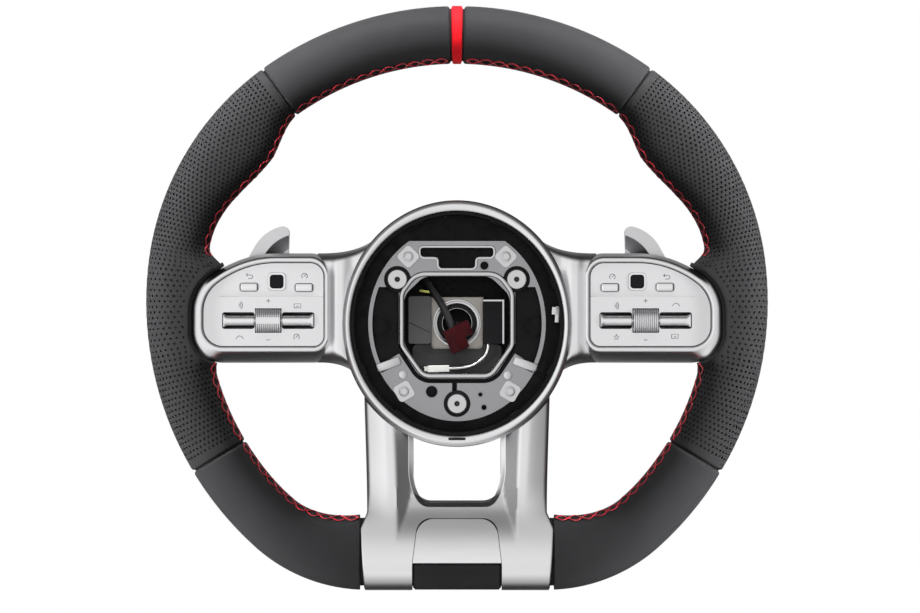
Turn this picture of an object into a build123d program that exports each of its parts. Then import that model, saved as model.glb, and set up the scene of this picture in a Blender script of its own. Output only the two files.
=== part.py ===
from build123d import *
import math
import os

# A flat-bottomed sports steering wheel with its airbag taken out, in millimetres.
# The column axis runs along Y through the origin, and the driver sits on the -Y side.
# The origin is at the mouth of the column bore. "Ahead" is the distance from there towards the driver.

# Rim outline: tangent arcs of its right half, from the top round to the flat bottom
rim_top = 190.4
top_radius = 200.0
top_turn = 34.0
shoulder_radius = 169.0
shoulder_turn = 50.0
side_radius = 198.0
side_turn = 54.0
corner_radius = 100.0

# Rim section
rim_ahead = 58.0
rim_width = 34.6
rim_depth = 31.0
side_gain = 1.9
bottom_gain = 10.0
thumb_bulge = 9.8
thumb_turn = 50.0
thumb_rise = 15.0
thumb_fall = 25.0
web_reach = 22.0
core_width = 10.0
core_depth = 10.0

# Rim leather, in panels that meet at grooves, and its thread
leather = 1.3
seam_gap = 0.8
slit = 0.4
upper_seam_turn = 36.0
lower_seam_turn = 121.0
marker_width = 7.0
thread_rise = 0.5
thread_first = 148.0
thread_last = 166.0

# Side spokes: the switch pod's outline and the trim round it
pod_inner = 79.3
pod_margin = 17.0
pod_top = 36.7
pod_bottom = -14.0
crown_run = 24.2
crown_drop = 18.9
crown_radius = 58.0
shoulder_round = 22.0
heel_round = 12.3
inner_low_round = 6.5
inner_top_round = 8.7
bezel_width = 2.6
flank_top = 5.6
flank_bottom = 9.7
flank_outer = 6.3
spoke_back_ahead = 37.5
trim_back = 46.0
bezel_base = 62.5
bezel_front = 66.0
neck_front = 61.0
neck_rise = 13.0
neck_drop = 26.0
cover_wall = 2.0
neck_edge = 4.0
neck_back_places = (40.0, 66.0, 90.0)
neck_back_ahead = 21.5

# Switches in each pod
panel_front = 64.0
panel_thick = 2.5
housing_back = 50.0
button_size = (10.6, 4.6)
button_proud = 0.9
button_depth = 7.0
outer_button = (124.4, 21.8)
inner_button = (91.5, 21.5)
pad_place = (107.8, 25.1)
pad_size = 7.6
pad_frame_size = 10.5
rocker_length = 18.8
rocker_height = 8.6
rocker_gap = 17.0
rocker_pin = 0.9
rocker_proud = 1.7
rocker_thick = 3.6
stem_share = 0.32
stem_depth = 4.0
stem_half_height = 2.5
stem_pin_sink = 1.4
stem_pin_reach = 1.3
roller_place = (112.9, 1.8)
roller_radius = 7.8
roller_width = 15.2
roller_ahead = 60.4
roller_axle_radius = 1.5
roller_axle_reach = 2.2
roller_press = 0.8

# Hub ring, liner and rear cover
ring_half_width = 68.7
ring_half_height = 73.8
ring_side_band = 4.8
ring_top_band = 6.4
ring_back = 56.0
ring_front = 66.0
ring_bevel = 2.6
liner_wall = 1.8
liner_floor = 32.0
liner_front = 63.0
liner_boss_place = (45.0, -2.0)
liner_boss_radius = 6.6
liner_boss_wall = 1.2
rear_cover_back = 6.0
rear_cover_draft = 1.2
rear_cover_taper = 12.5
rear_cover_wall = 2.4
rear_cover_hole = 30.0

# Cast armature
boss_size = 31.0
boss_front = 30.0
bore_radius = 9.2
counterbore_radius = 13.5
counterbore_depth = 4.0
hub_plate_back = 18.0
hub_plate_front = 26.0
hub_plate_half_width = 46.0
hub_plate_half_height = 50.0
bar_thick = 8.0
side_bar_low = -9.0
side_bar_high = 13.0
leg_bar_step = 17.9
leg_bar_width = 12.0
side_bar_bends = ((66.0, 27.0), (84.0, 44.0))
side_bar_knee = (2.2, 44.0)
side_bar_wall_ahead = 49.0
leg_bar_bends = ((-62.0, 27.0), (-82.0, 44.0))
leg_bar_knee = (42.8, 50.0)
bar_room = 1.0

# Horn plate on its three guide bolts
plate_back = 44.0
plate_thick = 2.0
plate_half_width = 53.6
plate_half_height = 59.0
plate_top = 49.7
plate_band = 2.4
loop_half_width = 31.9
loop_top = 28.4
loop_bottom = -30.3
loop_bar = 3.2
loop_corner = 20.0
loop_side_high = 17.0
loop_side_low = -12.5
loop_top_round = 10.0
loop_low_round = 8.0
side_window = (22.0, -29.5, -18.3)
loop_gap = 2.6
top_slot = (45.0, 6.6, 43.0)
top_slot_neck = (23.0, 7.0, 36.5)
plate_notch = (-1.5, -40.0, 3.0, 8.0)
plate_holes = ((16.5, 34.9, 2.4), (-15.3, -41.2, 3.4), (14.1, -42.9, 1.2), (16.3, -50.7, 1.5))
guide_places = ((-36.0, 26.6), (36.0, 26.6), (0.0, -48.4))
post_radius = 6.5
post_front = 36.0
guide_radius = 4.2
guide_head_radius = 5.8
guide_head_thick = 2.0
guide_thread_radius = 2.5
guide_thread_length = 10.0
bush_radius = 6.9
bush_thick = 4.4
spring_wire = 0.55
spring_turns = 4
clip_places = ((-29.4, 40.3, 45), (29.4, 40.3, 45), (-32.0, -41.0, 30), (32.0, -41.0, -30))
clip_size = 10.4
clip_thick = 1.4
rivet_head = 3.2
rivet_shank = 1.6
rivet_proud = 1.5
bead_place = (40.5, -25.5)
bead_length = 13.0
bead_radius = 1.6
bead_slope = 28.0

# Modules and leads in the hub
module_outer = 29.4
module_low = -12.4
module_high = 16.4
module_front = 37.0
block_high = 13.2
clip_steel = 1.0
tray_half_width = 27.0
tray_low = -33.0
tray_front = 33.5
tray_corner = 14.0
airbag_lead_dia = 4.4
horn_lead_dia = 1.6
airbag_plug_body = (6.4, 8.4, 9.0)
airbag_plug_nose = (5.0, 6.4, 2.5)
horn_plug_body = (2.6, 4.2, 13.0)
horn_plug_nose = (1.8, 3.0, 2.0)
grommet_wall = 1.2
grommet_length = 12.0

# Lower spoke: two legs, a window between them, rim clamps and a bare plate.
# Heights are above the rim's foot, and the steps in width are from the edge of the clamps.
leg_top = -40.0
leg_outer_step = 2.0
leg_waist_step = 4.2
leg_waist_rise = 42.8
clamp_overlap = 3.8
clamp_rise = 38.3
clamp_lean = 2.4
window_step = 31.4
window_rise = 52.1
window_round = 11.0
window_flare = 9.5
window_flare_depth = 7.0
leg_front = 60.0
leg_back = 37.0
leg_split = 51.0
clamp_wall = 2.4
plate_cut_rise = 43.2
pad_rise = 16.9
plate_cut_top_step = 34.3
plate_cut_low_step = 31.1
plate_cut_round = 9.0
badge_thick = 2.5
badge_sink = 0.5

# Shift paddles on their pins
paddle_back = 26.0
paddle_thick = 4.0
paddle_lip = 2.0
paddle_corners = ((101.8, 60.4, 4.0), (118.0, 55.6, 25.0), (132.5, 30.0, 30.0), (130.0, -18.0, 14.0),
                  (104.6, -18.0, 6.0))
paddle_face_shift = (-6.0, -5.0)
paddle_arm_bend = (14.0, 3.0)
paddle_arm_end = 109.0
paddle_arm_thick = 3.2
bracket_inner = 30.0
paddle_pivot = (70.0, 14.0)
paddle_pin_radius = 2.0
knuckle_radius = 4.6
knuckle_low = -13.6
knuckle_high = 19.6
ear_height = 8.0
bracket_back = 8.4
bracket_front = 19.8

# Fasteners and clearances
screw_place = 28.0
screw_head = 4.0
screw_head_thick = 2.4
screw_shank = 2.0
screw_length = 11.0
fit = 0.3
close = 0.15
slide = 0.35
running = 0.06


def smooth(value, start, end):
    """0 up to the start, 1 past the end, and a smooth step between them."""
    share = min(1.0, max(0.0, (value - start) / (end - start)))
    return share * share * (3 - 2 * share)


def on_ahead(ahead):
    """Plane across the column axis as the driver sees it: x to the right, y up."""
    return Plane(origin=(0, -ahead, 0), x_dir=(1, 0, 0), z_dir=(0, -1, 0))


def prism(shape, back, front):
    """Solid of a shape drawn as the driver sees it, between two distances ahead."""
    return extrude(on_ahead(back) * shape, front - back, dir=(0, -1, 0))


def plan_prism(shape, low, high):
    """Solid of a shape drawn from above as (x, ahead), between two heights."""
    plane = Plane(origin=(0, 0, high), x_dir=(1, 0, 0), z_dir=(0, 0, -1))
    return extrude(plane * shape, high - low, dir=(0, 0, -1))


def side_prism(shape, first, last):
    """Solid of a shape drawn from the side as (z, ahead), between two places across the wheel."""
    plane = Plane(origin=(first, 0, 0), x_dir=(0, 0, 1), z_dir=(1, 0, 0))
    return extrude(plane * shape, last - first, dir=(1, 0, 0))


def rounded(corners):
    """Face of a closed polygon whose corners are given as (x, z, radius)."""
    points = [(x, z) for x, z, radius in corners]
    radii = [radius for x, z, radius in corners]
    return make_face(FilletPolyline(*points, radius=radii, close=True))


def slab(x_first, x_last, back, front, z_low, z_high):
    """Box between two places on each axis, with the depth counted ahead."""
    size = Box(x_last - x_first, front - back, z_high - z_low)
    return Pos((x_first + x_last) / 2, -(back + front) / 2, (z_low + z_high) / 2) * size


def rod(start, end, radius):
    """Round bar between two places given as (x, ahead, z)."""
    first = Vector(start[0], -start[1], start[2])
    run = Vector(end[0], -end[1], end[2]) - first
    return extrude(Plane(origin=first, z_dir=run) * Circle(radius), run.length)


def both_sides(shape):
    """A shape together with its mirror image across the wheel's middle."""
    return shape + mirror(shape, about=Plane.YZ)


def one_piece(shape):
    """The largest solid of a shape, without loose slivers left by a cut."""
    return Part() + max(shape.solids(), key=lambda solid: solid.volume)


# Rim: outline, section and the solids that follow them

def outline_arcs():
    """Centre, radius, first and last turn of each arc of the outline's right half."""
    corner_turn = 180 - top_turn - shoulder_turn - side_turn
    radii = (top_radius, shoulder_radius, side_radius, corner_radius)
    turns = (top_turn, shoulder_turn, side_turn, corner_turn)
    arcs = []
    x, z, turn = 0.0, rim_top, 0.0
    for radius, sweep in zip(radii, turns):
        centre_x = x - radius * math.sin(math.radians(turn))
        centre_z = z - radius * math.cos(math.radians(turn))
        arcs.append((centre_x, centre_z, radius, turn, turn + sweep))
        turn += sweep
        x = centre_x + radius * math.sin(math.radians(turn))
        z = centre_z + radius * math.cos(math.radians(turn))
    return arcs


arcs = outline_arcs()


def outline_point(turn, inset):
    """Place on the outline, moved inwards, where its normal has turned that far from straight up."""
    for centre_x, centre_z, radius, first, last in arcs:
        if turn <= last:
            break
    angle = math.radians(turn)
    return centre_x + (radius - inset) * math.sin(angle), centre_z + (radius - inset) * math.cos(angle)


def turn_at_height(height):
    """Turn of the outline's normal at a height above the column axis."""
    for centre_x, centre_z, radius, first, last in arcs:
        if height >= centre_z + radius * math.cos(math.radians(last)):
            break
    return math.degrees(math.acos((height - centre_z) / radius))


flat_half, rim_bottom = outline_point(180, 0)
clamp_half_width = flat_half + clamp_overlap
side_core = outline_point(90, rim_width / 2)[0]
pod_outer = side_core - pod_margin
leg_outer = clamp_half_width - leg_outer_step
leg_waist = clamp_half_width - leg_waist_step
leg_bar_place = clamp_half_width - leg_bar_step
window_half_width = clamp_half_width - window_step
plate_cut_half_top = clamp_half_width - plate_cut_top_step
plate_cut_half_low = clamp_half_width - plate_cut_low_step
leg_waist_low = rim_bottom + leg_waist_rise
clamp_top = rim_bottom + clamp_rise
window_low = rim_bottom + window_rise
plate_cut_top = rim_bottom + plate_cut_rise
plate_cut_low = rim_bottom + pad_rise
module_half_gap = boss_size / 2 + fit
spoke_high = pod_top + flank_top
spoke_low = pod_bottom - flank_bottom
web_turns = [turn_at_height(z) for z in (spoke_high + 15, spoke_high - 9, spoke_low + 8, spoke_low - 19)]


def rim_outline(inset):
    """Face inside the rim's outline, moved inwards."""
    edges = []
    for centre_x, centre_z, radius, first, last in arcs:
        edges.append(CenterArc((centre_x, centre_z), radius - inset, 90 - last, last - first))
        edges.append(CenterArc((-centre_x, centre_z), radius - inset, 90 + first, last - first))
    floor_x, floor_z = outline_point(180, inset)
    edges.append(Line((-floor_x, floor_z), (floor_x, floor_z)))
    return make_face(edges)


def inner_reach(turn):
    """Half-width of the rim's inner side: thumb bulge, web to the spoke and thicker foot included."""
    run = thumb_rise if turn < thumb_turn else thumb_fall
    bulge = thumb_bulge * math.cos(math.radians(90 * min(1, abs(turn - thumb_turn) / run))) ** 2
    web = smooth(turn, web_turns[0], web_turns[1]) - smooth(turn, web_turns[2], web_turns[3])
    lower = side_gain * smooth(turn, 84, 100) + bottom_gain * smooth(turn, 130, 190)
    return rim_width / 2 + bulge + lower + web_reach * web ** 2


def section_plane(turn):
    """Plane across the rim: x outwards, y ahead."""
    x, z = outline_point(turn, rim_width / 2)
    angle = math.radians(turn)
    tangent = (math.cos(angle), 0, -math.sin(angle))
    return Plane(origin=(x, -rim_ahead, z), x_dir=(math.sin(angle), 0, math.cos(angle)), z_dir=tangent)


def rim_section(turn, inset):
    """The rim's section: half an ellipse outwards and a longer half inwards."""
    deep = rim_depth / 2 - inset
    outer = EllipticalCenterArc((0, 0), rim_width / 2 - inset, deep, -90, arc_size=180)
    inner = EllipticalCenterArc((0, 0), inner_reach(turn) - inset, deep, 90, arc_size=180)
    return make_face([outer, inner])


def rim_stations(first, last):
    """Turns of the rim's sections between two turns, closer together where the web flares."""
    places = [first, first + 1.5, first + 4.5, *range(0, 181, 9), last - 4.5, last - 1.5, last]
    places += [thumb_turn - thumb_rise * share for share in (0, 0.25, 0.5, 0.75, 1, 1.25)]
    places += [thumb_turn + thumb_fall * share for share in (0.2, 0.4, 0.6, 0.8, 1)]
    places += [web_turns[0] - 3, web_turns[3] + 3]
    for near, far, count in ((*web_turns[:2], 7), (*web_turns[1:3], 4), (*web_turns[2:], 7)):
        places += [near + (far - near) * step / count for step in range(count + 1)]
    places = sorted({turn for turn in places if first <= turn <= last})
    return [turn for turn, after in zip(places, places[1:] + [999]) if after - turn > 0.8 or turn == first]


def rim_half(inset):
    """The right half of the rim down to its flat, as a solid moved in from its leather surface."""
    half = Part()
    ends = (0, upper_seam_turn, lower_seam_turn, 180)
    for first, last in zip(ends, ends[1:]):
        half += loft([section_plane(turn) * rim_section(turn, inset) for turn in rim_stations(first, last)])
    return half


def skin_section(turn):
    """Section of the leather: a strip wrapped round the rim, its edges sewn together on the inner side."""
    half_slit = math.degrees(math.asin(slit / rim_depth))
    loops = []
    for inset in (0, leather):
        deep = rim_depth / 2 - inset
        reach = inner_reach(turn) - inset
        back = EllipticalCenterArc((0, 0), reach, deep, 180 + half_slit, arc_size=90 - half_slit)
        outer = EllipticalCenterArc((0, 0), rim_width / 2 - inset, deep, -90, arc_size=180)
        front = EllipticalCenterArc((0, 0), reach, deep, 90, arc_size=90 - half_slit)
        loops.append((back, outer, front))
    surface, inside = loops
    edges = [*surface, *inside, Line(surface[0] @ 0, inside[0] @ 0), Line(surface[2] @ 1, inside[2] @ 1)]
    return make_face(edges)


def skin(first, last):
    """Leather panel of the right half of the rim, between two turns."""
    return loft([section_plane(turn) * skin_section(turn) for turn in rim_stations(first, last)])


def rim_foot(inset):
    """The flat bottom of the rim and what the clamps take in, as a solid moved in from its surface."""
    half = clamp_half_width + fit
    drop = Pos(rim_bottom + rim_width / 2, rim_ahead) * Rot(0, 0, 180)
    return side_prism(drop * rim_section(180, inset), -half, half)


def seam_turn(turn, side):
    """Turn of a panel's edge on one side of a seam, half a groove away from it."""
    return turn + side * math.degrees(seam_gap / 2 / shoulder_radius)


# Spoke outlines, shared by everything that fits in the spokes

def pod_shape(out, up, down, inward):
    """Outline of the right switch pod, grown by its own amount on each side."""
    crown_angle = math.atan2(crown_drop, crown_run)
    crown_x = pod_outer - crown_run + up * math.tan(crown_angle / 2)
    shoulder_z = pod_top - crown_drop + out * math.tan(math.pi / 4 - crown_angle / 2)
    return rounded([
        (pod_inner - inward, pod_top + up, inner_top_round + min(up, inward)),
        (crown_x, pod_top + up, crown_radius + up),
        (pod_outer + out, shoulder_z, shoulder_round + out),
        (pod_outer + out, pod_bottom - down, heel_round + min(out, down)),
        (pod_inner - inward, pod_bottom - down, inner_low_round + min(down, inward))])


def spoke_silhouette(grow):
    """Outline of the side spoke behind its bezel."""
    return pod_shape(flank_outer + grow, flank_top + grow, flank_bottom + grow, bezel_width + grow)


def hub_ellipse(inset):
    """Ellipse of the hub ring's outer edge, moved inwards."""
    return Ellipse(ring_half_width - inset, ring_half_height - inset)


def cover_body(inset, back):
    """Tapered oval cup of the rear cover as a solid, moved in from its outer face."""
    front = on_ahead(ring_back - close) * hub_ellipse(fit + inset)
    waist = on_ahead(liner_floor - 2) * hub_ellipse(fit + inset + rear_cover_draft)
    rear = on_ahead(back) * hub_ellipse(fit + inset + rear_cover_taper)
    return loft([rear, waist, front], ruled=True)


def hub_envelope():
    """Space taken by the hub ring and the rear cover, with room round them."""
    ring = prism(hub_ellipse(-close), ring_back - 2 * close, 2 * rim_ahead)
    return cover_body(-fit, rear_cover_back) + ring


def band(points, thick):
    """Closed outline of a bent strip along (place, ahead) points, seen along the strip's width."""
    front = [(place, ahead + thick / 2) for place, ahead in points]
    back = [(place, ahead - thick / 2) for place, ahead in points]
    return make_face(Polyline(*front, *reversed(back), close=True))


def side_bar(room):
    """Right spoke of the armature, or the channel it runs in."""
    root = (hub_plate_half_width - bar_thick, (hub_plate_back + hub_plate_front) / 2)
    knee = (pod_outer - side_bar_knee[0], side_bar_knee[1])
    wall = (pod_outer + flank_outer, side_bar_wall_ahead)
    points = [root, *side_bar_bends, knee, wall, (side_core, rim_ahead)]
    return plan_prism(band(points, bar_thick + 2 * room), side_bar_low - room, side_bar_high + room)


def leg_bar(room):
    """Right lower leg of the armature, or the channel it runs in."""
    core_place = rim_bottom + rim_width / 2
    root = (bar_thick - hub_plate_half_height, (hub_plate_back + hub_plate_front) / 2)
    knee = (rim_bottom + leg_bar_knee[0], leg_bar_knee[1])
    points = [root, *leg_bar_bends, knee, (core_place, rim_ahead)]
    half = leg_bar_width / 2 + room
    return side_prism(band(points, bar_thick + 2 * room), leg_bar_place - half, leg_bar_place + half)


def bar_channels():
    """Room for all four arms of the armature."""
    return both_sides(side_bar(bar_room) + leg_bar(bar_room))


# Armature: hub, four arms and rim core in one casting

def armature():
    inner = rim_outline(rim_width / 2 + core_width / 2)
    outer = rim_outline(rim_width / 2 - core_width / 2)
    casting = prism(outer - inner, rim_ahead - core_depth / 2, rim_ahead + core_depth / 2)
    casting += prism(Ellipse(hub_plate_half_width, hub_plate_half_height), hub_plate_back, hub_plate_front)
    casting += prism(RectangleRounded(boss_size, boss_size, 2), 0, boss_front)
    casting += both_sides(side_bar(0) + leg_bar(0))
    for x, z in guide_places:
        casting += prism(Pos(x, z) * Circle(post_radius), hub_plate_back, post_front)
    for x, z in screw_places():
        casting += prism(Pos(x, z) * Circle(screw_head), rear_cover_back + rear_cover_wall, hub_plate_back)
        casting -= prism(Pos(x, z) * Circle(screw_shank + close), 0, hub_plate_back)
    for x, z in guide_places:
        hole = Pos(x, z) * Circle(guide_thread_radius + close)
        casting -= prism(hole, post_front - guide_thread_length - 1, post_front)
    casting -= prism(Circle(bore_radius), 0, boss_front)
    casting -= prism(Circle(counterbore_radius), boss_front - counterbore_depth, boss_front)
    return casting


def screw_places():
    """The four screws of the rear cover."""
    return [(x, z) for x in (-screw_place, screw_place) for z in (-screw_place, screw_place)]


# Rim foam and leather

def pod_notch():
    """The cut in the rim that the right spoke fills."""
    return prism(spoke_silhouette(fit), 0, 2 * rim_ahead)


def clamp_slab():
    """The stretch of the rim inside the lower clamps."""
    half = clamp_half_width + fit
    return slab(-half, half, 0, 2 * rim_ahead, rim_bottom - 10, window_low + 10)


def rim_foam(casting):
    half = rim_half(leather + fit) - clamp_slab() - pod_notch() - casting
    return one_piece(both_sides(one_piece(half)) + (rim_foot(clamp_wall + close) - casting))


def leather_panels():
    """The rim's leather: upper, grip and lower panels of the right side, top marker and bottom pad."""
    marker_turn = math.degrees(marker_width / 2 / top_radius)
    upper = skin(seam_turn(marker_turn, 2), seam_turn(upper_seam_turn, -1))
    grip = skin(seam_turn(upper_seam_turn, 1), seam_turn(lower_seam_turn, -1)) - pod_notch()
    lower = skin(seam_turn(lower_seam_turn, 1), 180) - clamp_slab()
    marker = both_sides(skin(0, marker_turn))
    pad_front = prism(plate_cut(fit), leg_split + fit, 2 * rim_ahead)
    below = slab(-clamp_half_width, clamp_half_width, 0, 2 * rim_ahead, 2 * rim_bottom, plate_cut_low - fit)
    pad = (rim_foot(0) - rim_foot(leather)) & pad_front & below
    return [one_piece(piece) for piece in (upper, grip, lower, marker, pad)]


def thread_run(first, last):
    """Raised band of thread on the inner front edge of the rim, between two turns."""
    sections = []
    for turn in rim_stations(first, last):
        arcs_out = []
        for lift in (close, close + thread_rise):
            reach = inner_reach(turn) + lift
            deep = rim_depth / 2 + lift
            sweep_angle = thread_last - thread_first
            arcs_out.append(EllipticalCenterArc((0, 0), reach, deep, thread_first, arc_size=sweep_angle))
        low, high = arcs_out
        edges = [low, high, Line(low @ 0, high @ 0), Line(low @ 1, high @ 1)]
        sections.append(section_plane(turn) * make_face(edges))
    return loft(sections)


def seam_thread():
    """Thread bands of both sides, broken at the grooves and the spokes."""
    start = math.degrees((marker_width / 2 + seam_gap) / (top_radius - rim_width))
    stop = turn_at_height(rim_bottom + rim_width) + 4
    spans = [(start, seam_turn(upper_seam_turn, -1)), (seam_turn(upper_seam_turn, 1), web_turns[0]),
             (web_turns[3], seam_turn(lower_seam_turn, -1)), (seam_turn(lower_seam_turn, 1), stop)]
    runs = [thread_run(first, last) for first, last in spans]
    return Compound(runs + [mirror(run, about=Plane.YZ) for run in runs])


# Hub ring, liner and rear cover

def ring_hole(inset):
    """Ellipse of the hub ring's opening, moved inwards."""
    return Ellipse(ring_half_width - ring_side_band - inset, ring_half_height - ring_top_band - inset)


def hub_ring():
    ring = prism(hub_ellipse(0) - ring_hole(0), ring_back, ring_front)
    front_edges = ring.faces().sort_by(Axis.Y)[0].edges()
    outer_edge = front_edges.sort_by(SortBy.LENGTH)[-1]
    return chamfer(outer_edge, ring_bevel, ring_bevel * 0.8)


def loop_shape(grow):
    """Rounded octagon of the horn plate's inner opening, grown outwards."""
    right = [
        (loop_corner, loop_bottom, loop_low_round), (loop_half_width, loop_side_low, loop_low_round),
        (loop_half_width, loop_side_high, loop_top_round), (loop_corner, loop_top, loop_top_round)]
    left = [(-x, z, radius) for x, z, radius in reversed(right)]
    shape = rounded(right + left)
    return offset(shape, grow) if grow else shape


def hub_liner():
    outer = ring_hole(fit)
    inner = ring_hole(fit + liner_wall)
    liner = prism(outer - inner, liner_floor, liner_front)
    floor = inner - loop_shape(loop_bar + 1)
    for x, z in guide_places:
        floor -= Pos(x, z) * Circle(post_radius + fit)
    liner += prism(floor, liner_floor, liner_floor + liner_wall)
    boss = Circle(liner_boss_radius) - Circle(liner_boss_radius - liner_boss_wall)
    boss = prism(Pos(*liner_boss_place) * boss, liner_floor, liner_floor + 2 * liner_wall)
    return liner + both_sides(boss)


def rear_cover():
    shell = cover_body(0, rear_cover_back)
    shell -= cover_body(rear_cover_wall, rear_cover_back + rear_cover_wall)
    shell -= prism(Circle(rear_cover_hole), 0, hub_plate_back)
    for x, z in screw_places():
        shell -= prism(Pos(x, z) * Circle(screw_shank + fit), 0, hub_plate_back)
    return one_piece(shell - bar_channels())


def cover_screws():
    screws = []
    for x, z in screw_places():
        screw = prism(Pos(x, z) * Circle(screw_head), rear_cover_back - screw_head_thick, rear_cover_back)
        screw += prism(Pos(x, z) * Circle(screw_shank), rear_cover_back, rear_cover_back + screw_length)
        screws.append(screw)
    return Compound(screws)


# Side spokes: trim in front, cover behind

def neck_shape(grow):
    """Outline of the neck between the pod and the hub ring, flaring up and down at the hub."""
    reach = pod_inner + inner_top_round + 8
    return rounded([
        (reach, spoke_high + grow, 0), (pod_inner, spoke_high + grow, 40),
        (ring_half_width - 22, spoke_high + neck_rise + grow, 0), (20, spoke_high + neck_rise, 0),
        (20, spoke_low - neck_drop, 0), (leg_outer + grow, spoke_low - neck_drop, 0),
        (leg_outer + 9 + grow, spoke_low - grow, 22), (reach, spoke_low - grow, 0)])


def spoke_trim():
    bezel = pod_shape(bezel_width, bezel_width, bezel_width, bezel_width)
    trim = loft([on_ahead(trim_back) * spoke_silhouette(0), on_ahead(bezel_base) * bezel], ruled=True)
    trim += prism(bezel, bezel_base, bezel_front)
    neck = prism(neck_shape(0), trim_back, neck_front)
    front_face = neck.faces().sort_by(Axis.Y)[0]
    trim += fillet(front_face.edges(), neck_edge)
    trim -= prism(pod_shape(0, 0, 0, 0), 0, 2 * rim_ahead)
    return one_piece(trim - hub_envelope() - bar_channels() - leg_envelope())


def spoke_back():
    cover = prism(spoke_silhouette(0), spoke_back_ahead, trim_back - close)
    cover -= prism(pod_shape(bezel_width, bezel_width, bezel_width, -bezel_width),
                   spoke_back_ahead + cover_wall, trim_back)
    front = trim_back - close
    first, bend, last = neck_back_places
    neck_points = [
        (first, front), (first, neck_back_ahead), (bend, neck_back_ahead), (last, spoke_back_ahead), (last, front)]
    plan_shape = make_face(Polyline(*neck_points, close=True))
    cover += plan_prism(plan_shape, side_bar_low - 5, side_bar_high + 5)
    return one_piece(cover - bar_channels() - hub_envelope())


# Switches of one pod

def roller_space(room, back_travel):
    """Cylinder round the roller, and the same further back if the roller is pressed in."""
    x, z = roller_place
    half = roller_width / 2 + room
    space = rod((x - half, roller_ahead, z), (x + half, roller_ahead, z), roller_radius + room)
    if back_travel:
        back = roller_ahead - back_travel
        space += rod((x - half, back, z), (x + half, back, z), roller_radius + room)
    return space


def axle_rod(room, back_travel):
    """The roller's axle, or the slot that it sits in."""
    x, z = roller_place
    half = roller_width / 2 + roller_axle_reach + room
    axle = rod((x - half, roller_ahead, z), (x + half, roller_ahead, z), roller_axle_radius + room)
    if back_travel:
        axle += slab(x - half, x + half, roller_ahead - back_travel, roller_ahead,
                     z - roller_axle_radius - room, z + roller_axle_radius + room)
        back = roller_ahead - back_travel
        axle += rod((x - half, back, z), (x + half, back, z), roller_axle_radius + room)
    return axle


def rocker_places():
    """Middle of the inner and the outer rocker bar."""
    x, z = roller_place
    reach = (rocker_gap + rocker_length) / 2
    return [(x - reach, z), (x + reach, z)]


def rocker_stem(room):
    """Stem and pins of a rocker drawn at x = z = 0, or the pocket for them."""
    panel_back = panel_front - panel_thick
    half = rocker_length * stem_share + room
    high = stem_half_height + 2 * room
    stem = slab(-half, half, panel_back - stem_depth - room, panel_back + 1, -high, high)
    reach = half + stem_pin_reach
    pin_ahead = panel_back - stem_pin_sink
    pin_radius = rocker_pin + (running if room else 0)
    return stem + rod((-reach, pin_ahead, 0), (reach, pin_ahead, 0), pin_radius)


def rocker():
    front = panel_front + rocker_proud
    cap = prism(RectangleRounded(rocker_length, rocker_height, 1.2), front - rocker_thick, front)
    cap = chamfer(cap.faces().sort_by(Axis.Y)[0].edges(), 1.0)
    return cap + rocker_stem(0)


def button():
    shape = RectangleRounded(*button_size, 1.4)
    return prism(shape, panel_front + button_proud - button_depth, panel_front + button_proud)


def touch_pad():
    shape = RectangleRounded(pad_size, pad_size, 1.8)
    return prism(shape, panel_front - button_depth + 1, panel_front + slide)


def pad_frame():
    hole = RectangleRounded(pad_size + 2 * slide, pad_size + 2 * slide, 2)
    shape = RectangleRounded(pad_frame_size, pad_frame_size, 2.6) - hole
    return prism(shape, panel_front - panel_thick + close, panel_front + 0.7)


def at(place, shape):
    """A shape drawn at x = z = 0, moved to its place on the pod."""
    return Pos(place[0], 0, place[1]) * shape


def switch_panel(back_travel):
    shape = pod_shape(-fit, -fit, -fit, -fit)
    panel = prism(shape, panel_front - panel_thick, panel_front)
    deep = 2 * panel_thick
    button_hole = RectangleRounded(button_size[0] + 2 * slide, button_size[1] + 2 * slide, 1.6)
    for place in (outer_button, inner_button):
        panel -= at(place, prism(button_hole, panel_front - deep, panel_front + deep))
    frame_hole = RectangleRounded(pad_frame_size + 2 * close, pad_frame_size + 2 * close, 2.6)
    panel -= at(pad_place, prism(frame_hole, panel_front - deep, panel_front + deep))
    rocker_hole = RectangleRounded(rocker_length + 2 * slide, rocker_height + 4 * slide, 1.6)
    for place in rocker_places():
        panel -= at(place, prism(rocker_hole, panel_front - deep, panel_front + deep))
    return panel - roller_space(slide, back_travel) - axle_rod(running, back_travel)


def switch_housing(back_travel):
    front = panel_front - panel_thick
    housing = prism(pod_shape(-fit, -fit, -fit, -fit), housing_back, front)
    button_hole = RectangleRounded(button_size[0] + 2 * slide, button_size[1] + 2 * slide, 1.6)
    pocket_floor = panel_front + button_proud - button_depth - 1.4
    for place in (outer_button, inner_button):
        housing -= at(place, prism(button_hole, pocket_floor, front))
    pad_hole = RectangleRounded(pad_size + 2 * slide, pad_size + 2 * slide, 2)
    housing -= at(pad_place, prism(pad_hole, panel_front - button_depth - slide, front))
    for place in rocker_places():
        housing -= at(place, rocker_stem(slide))
    return housing - roller_space(2 * slide, back_travel) - axle_rod(running, back_travel)


def roller():
    return roller_space(0, 0) - axle_rod(running, 0)


# Lower spoke

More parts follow.
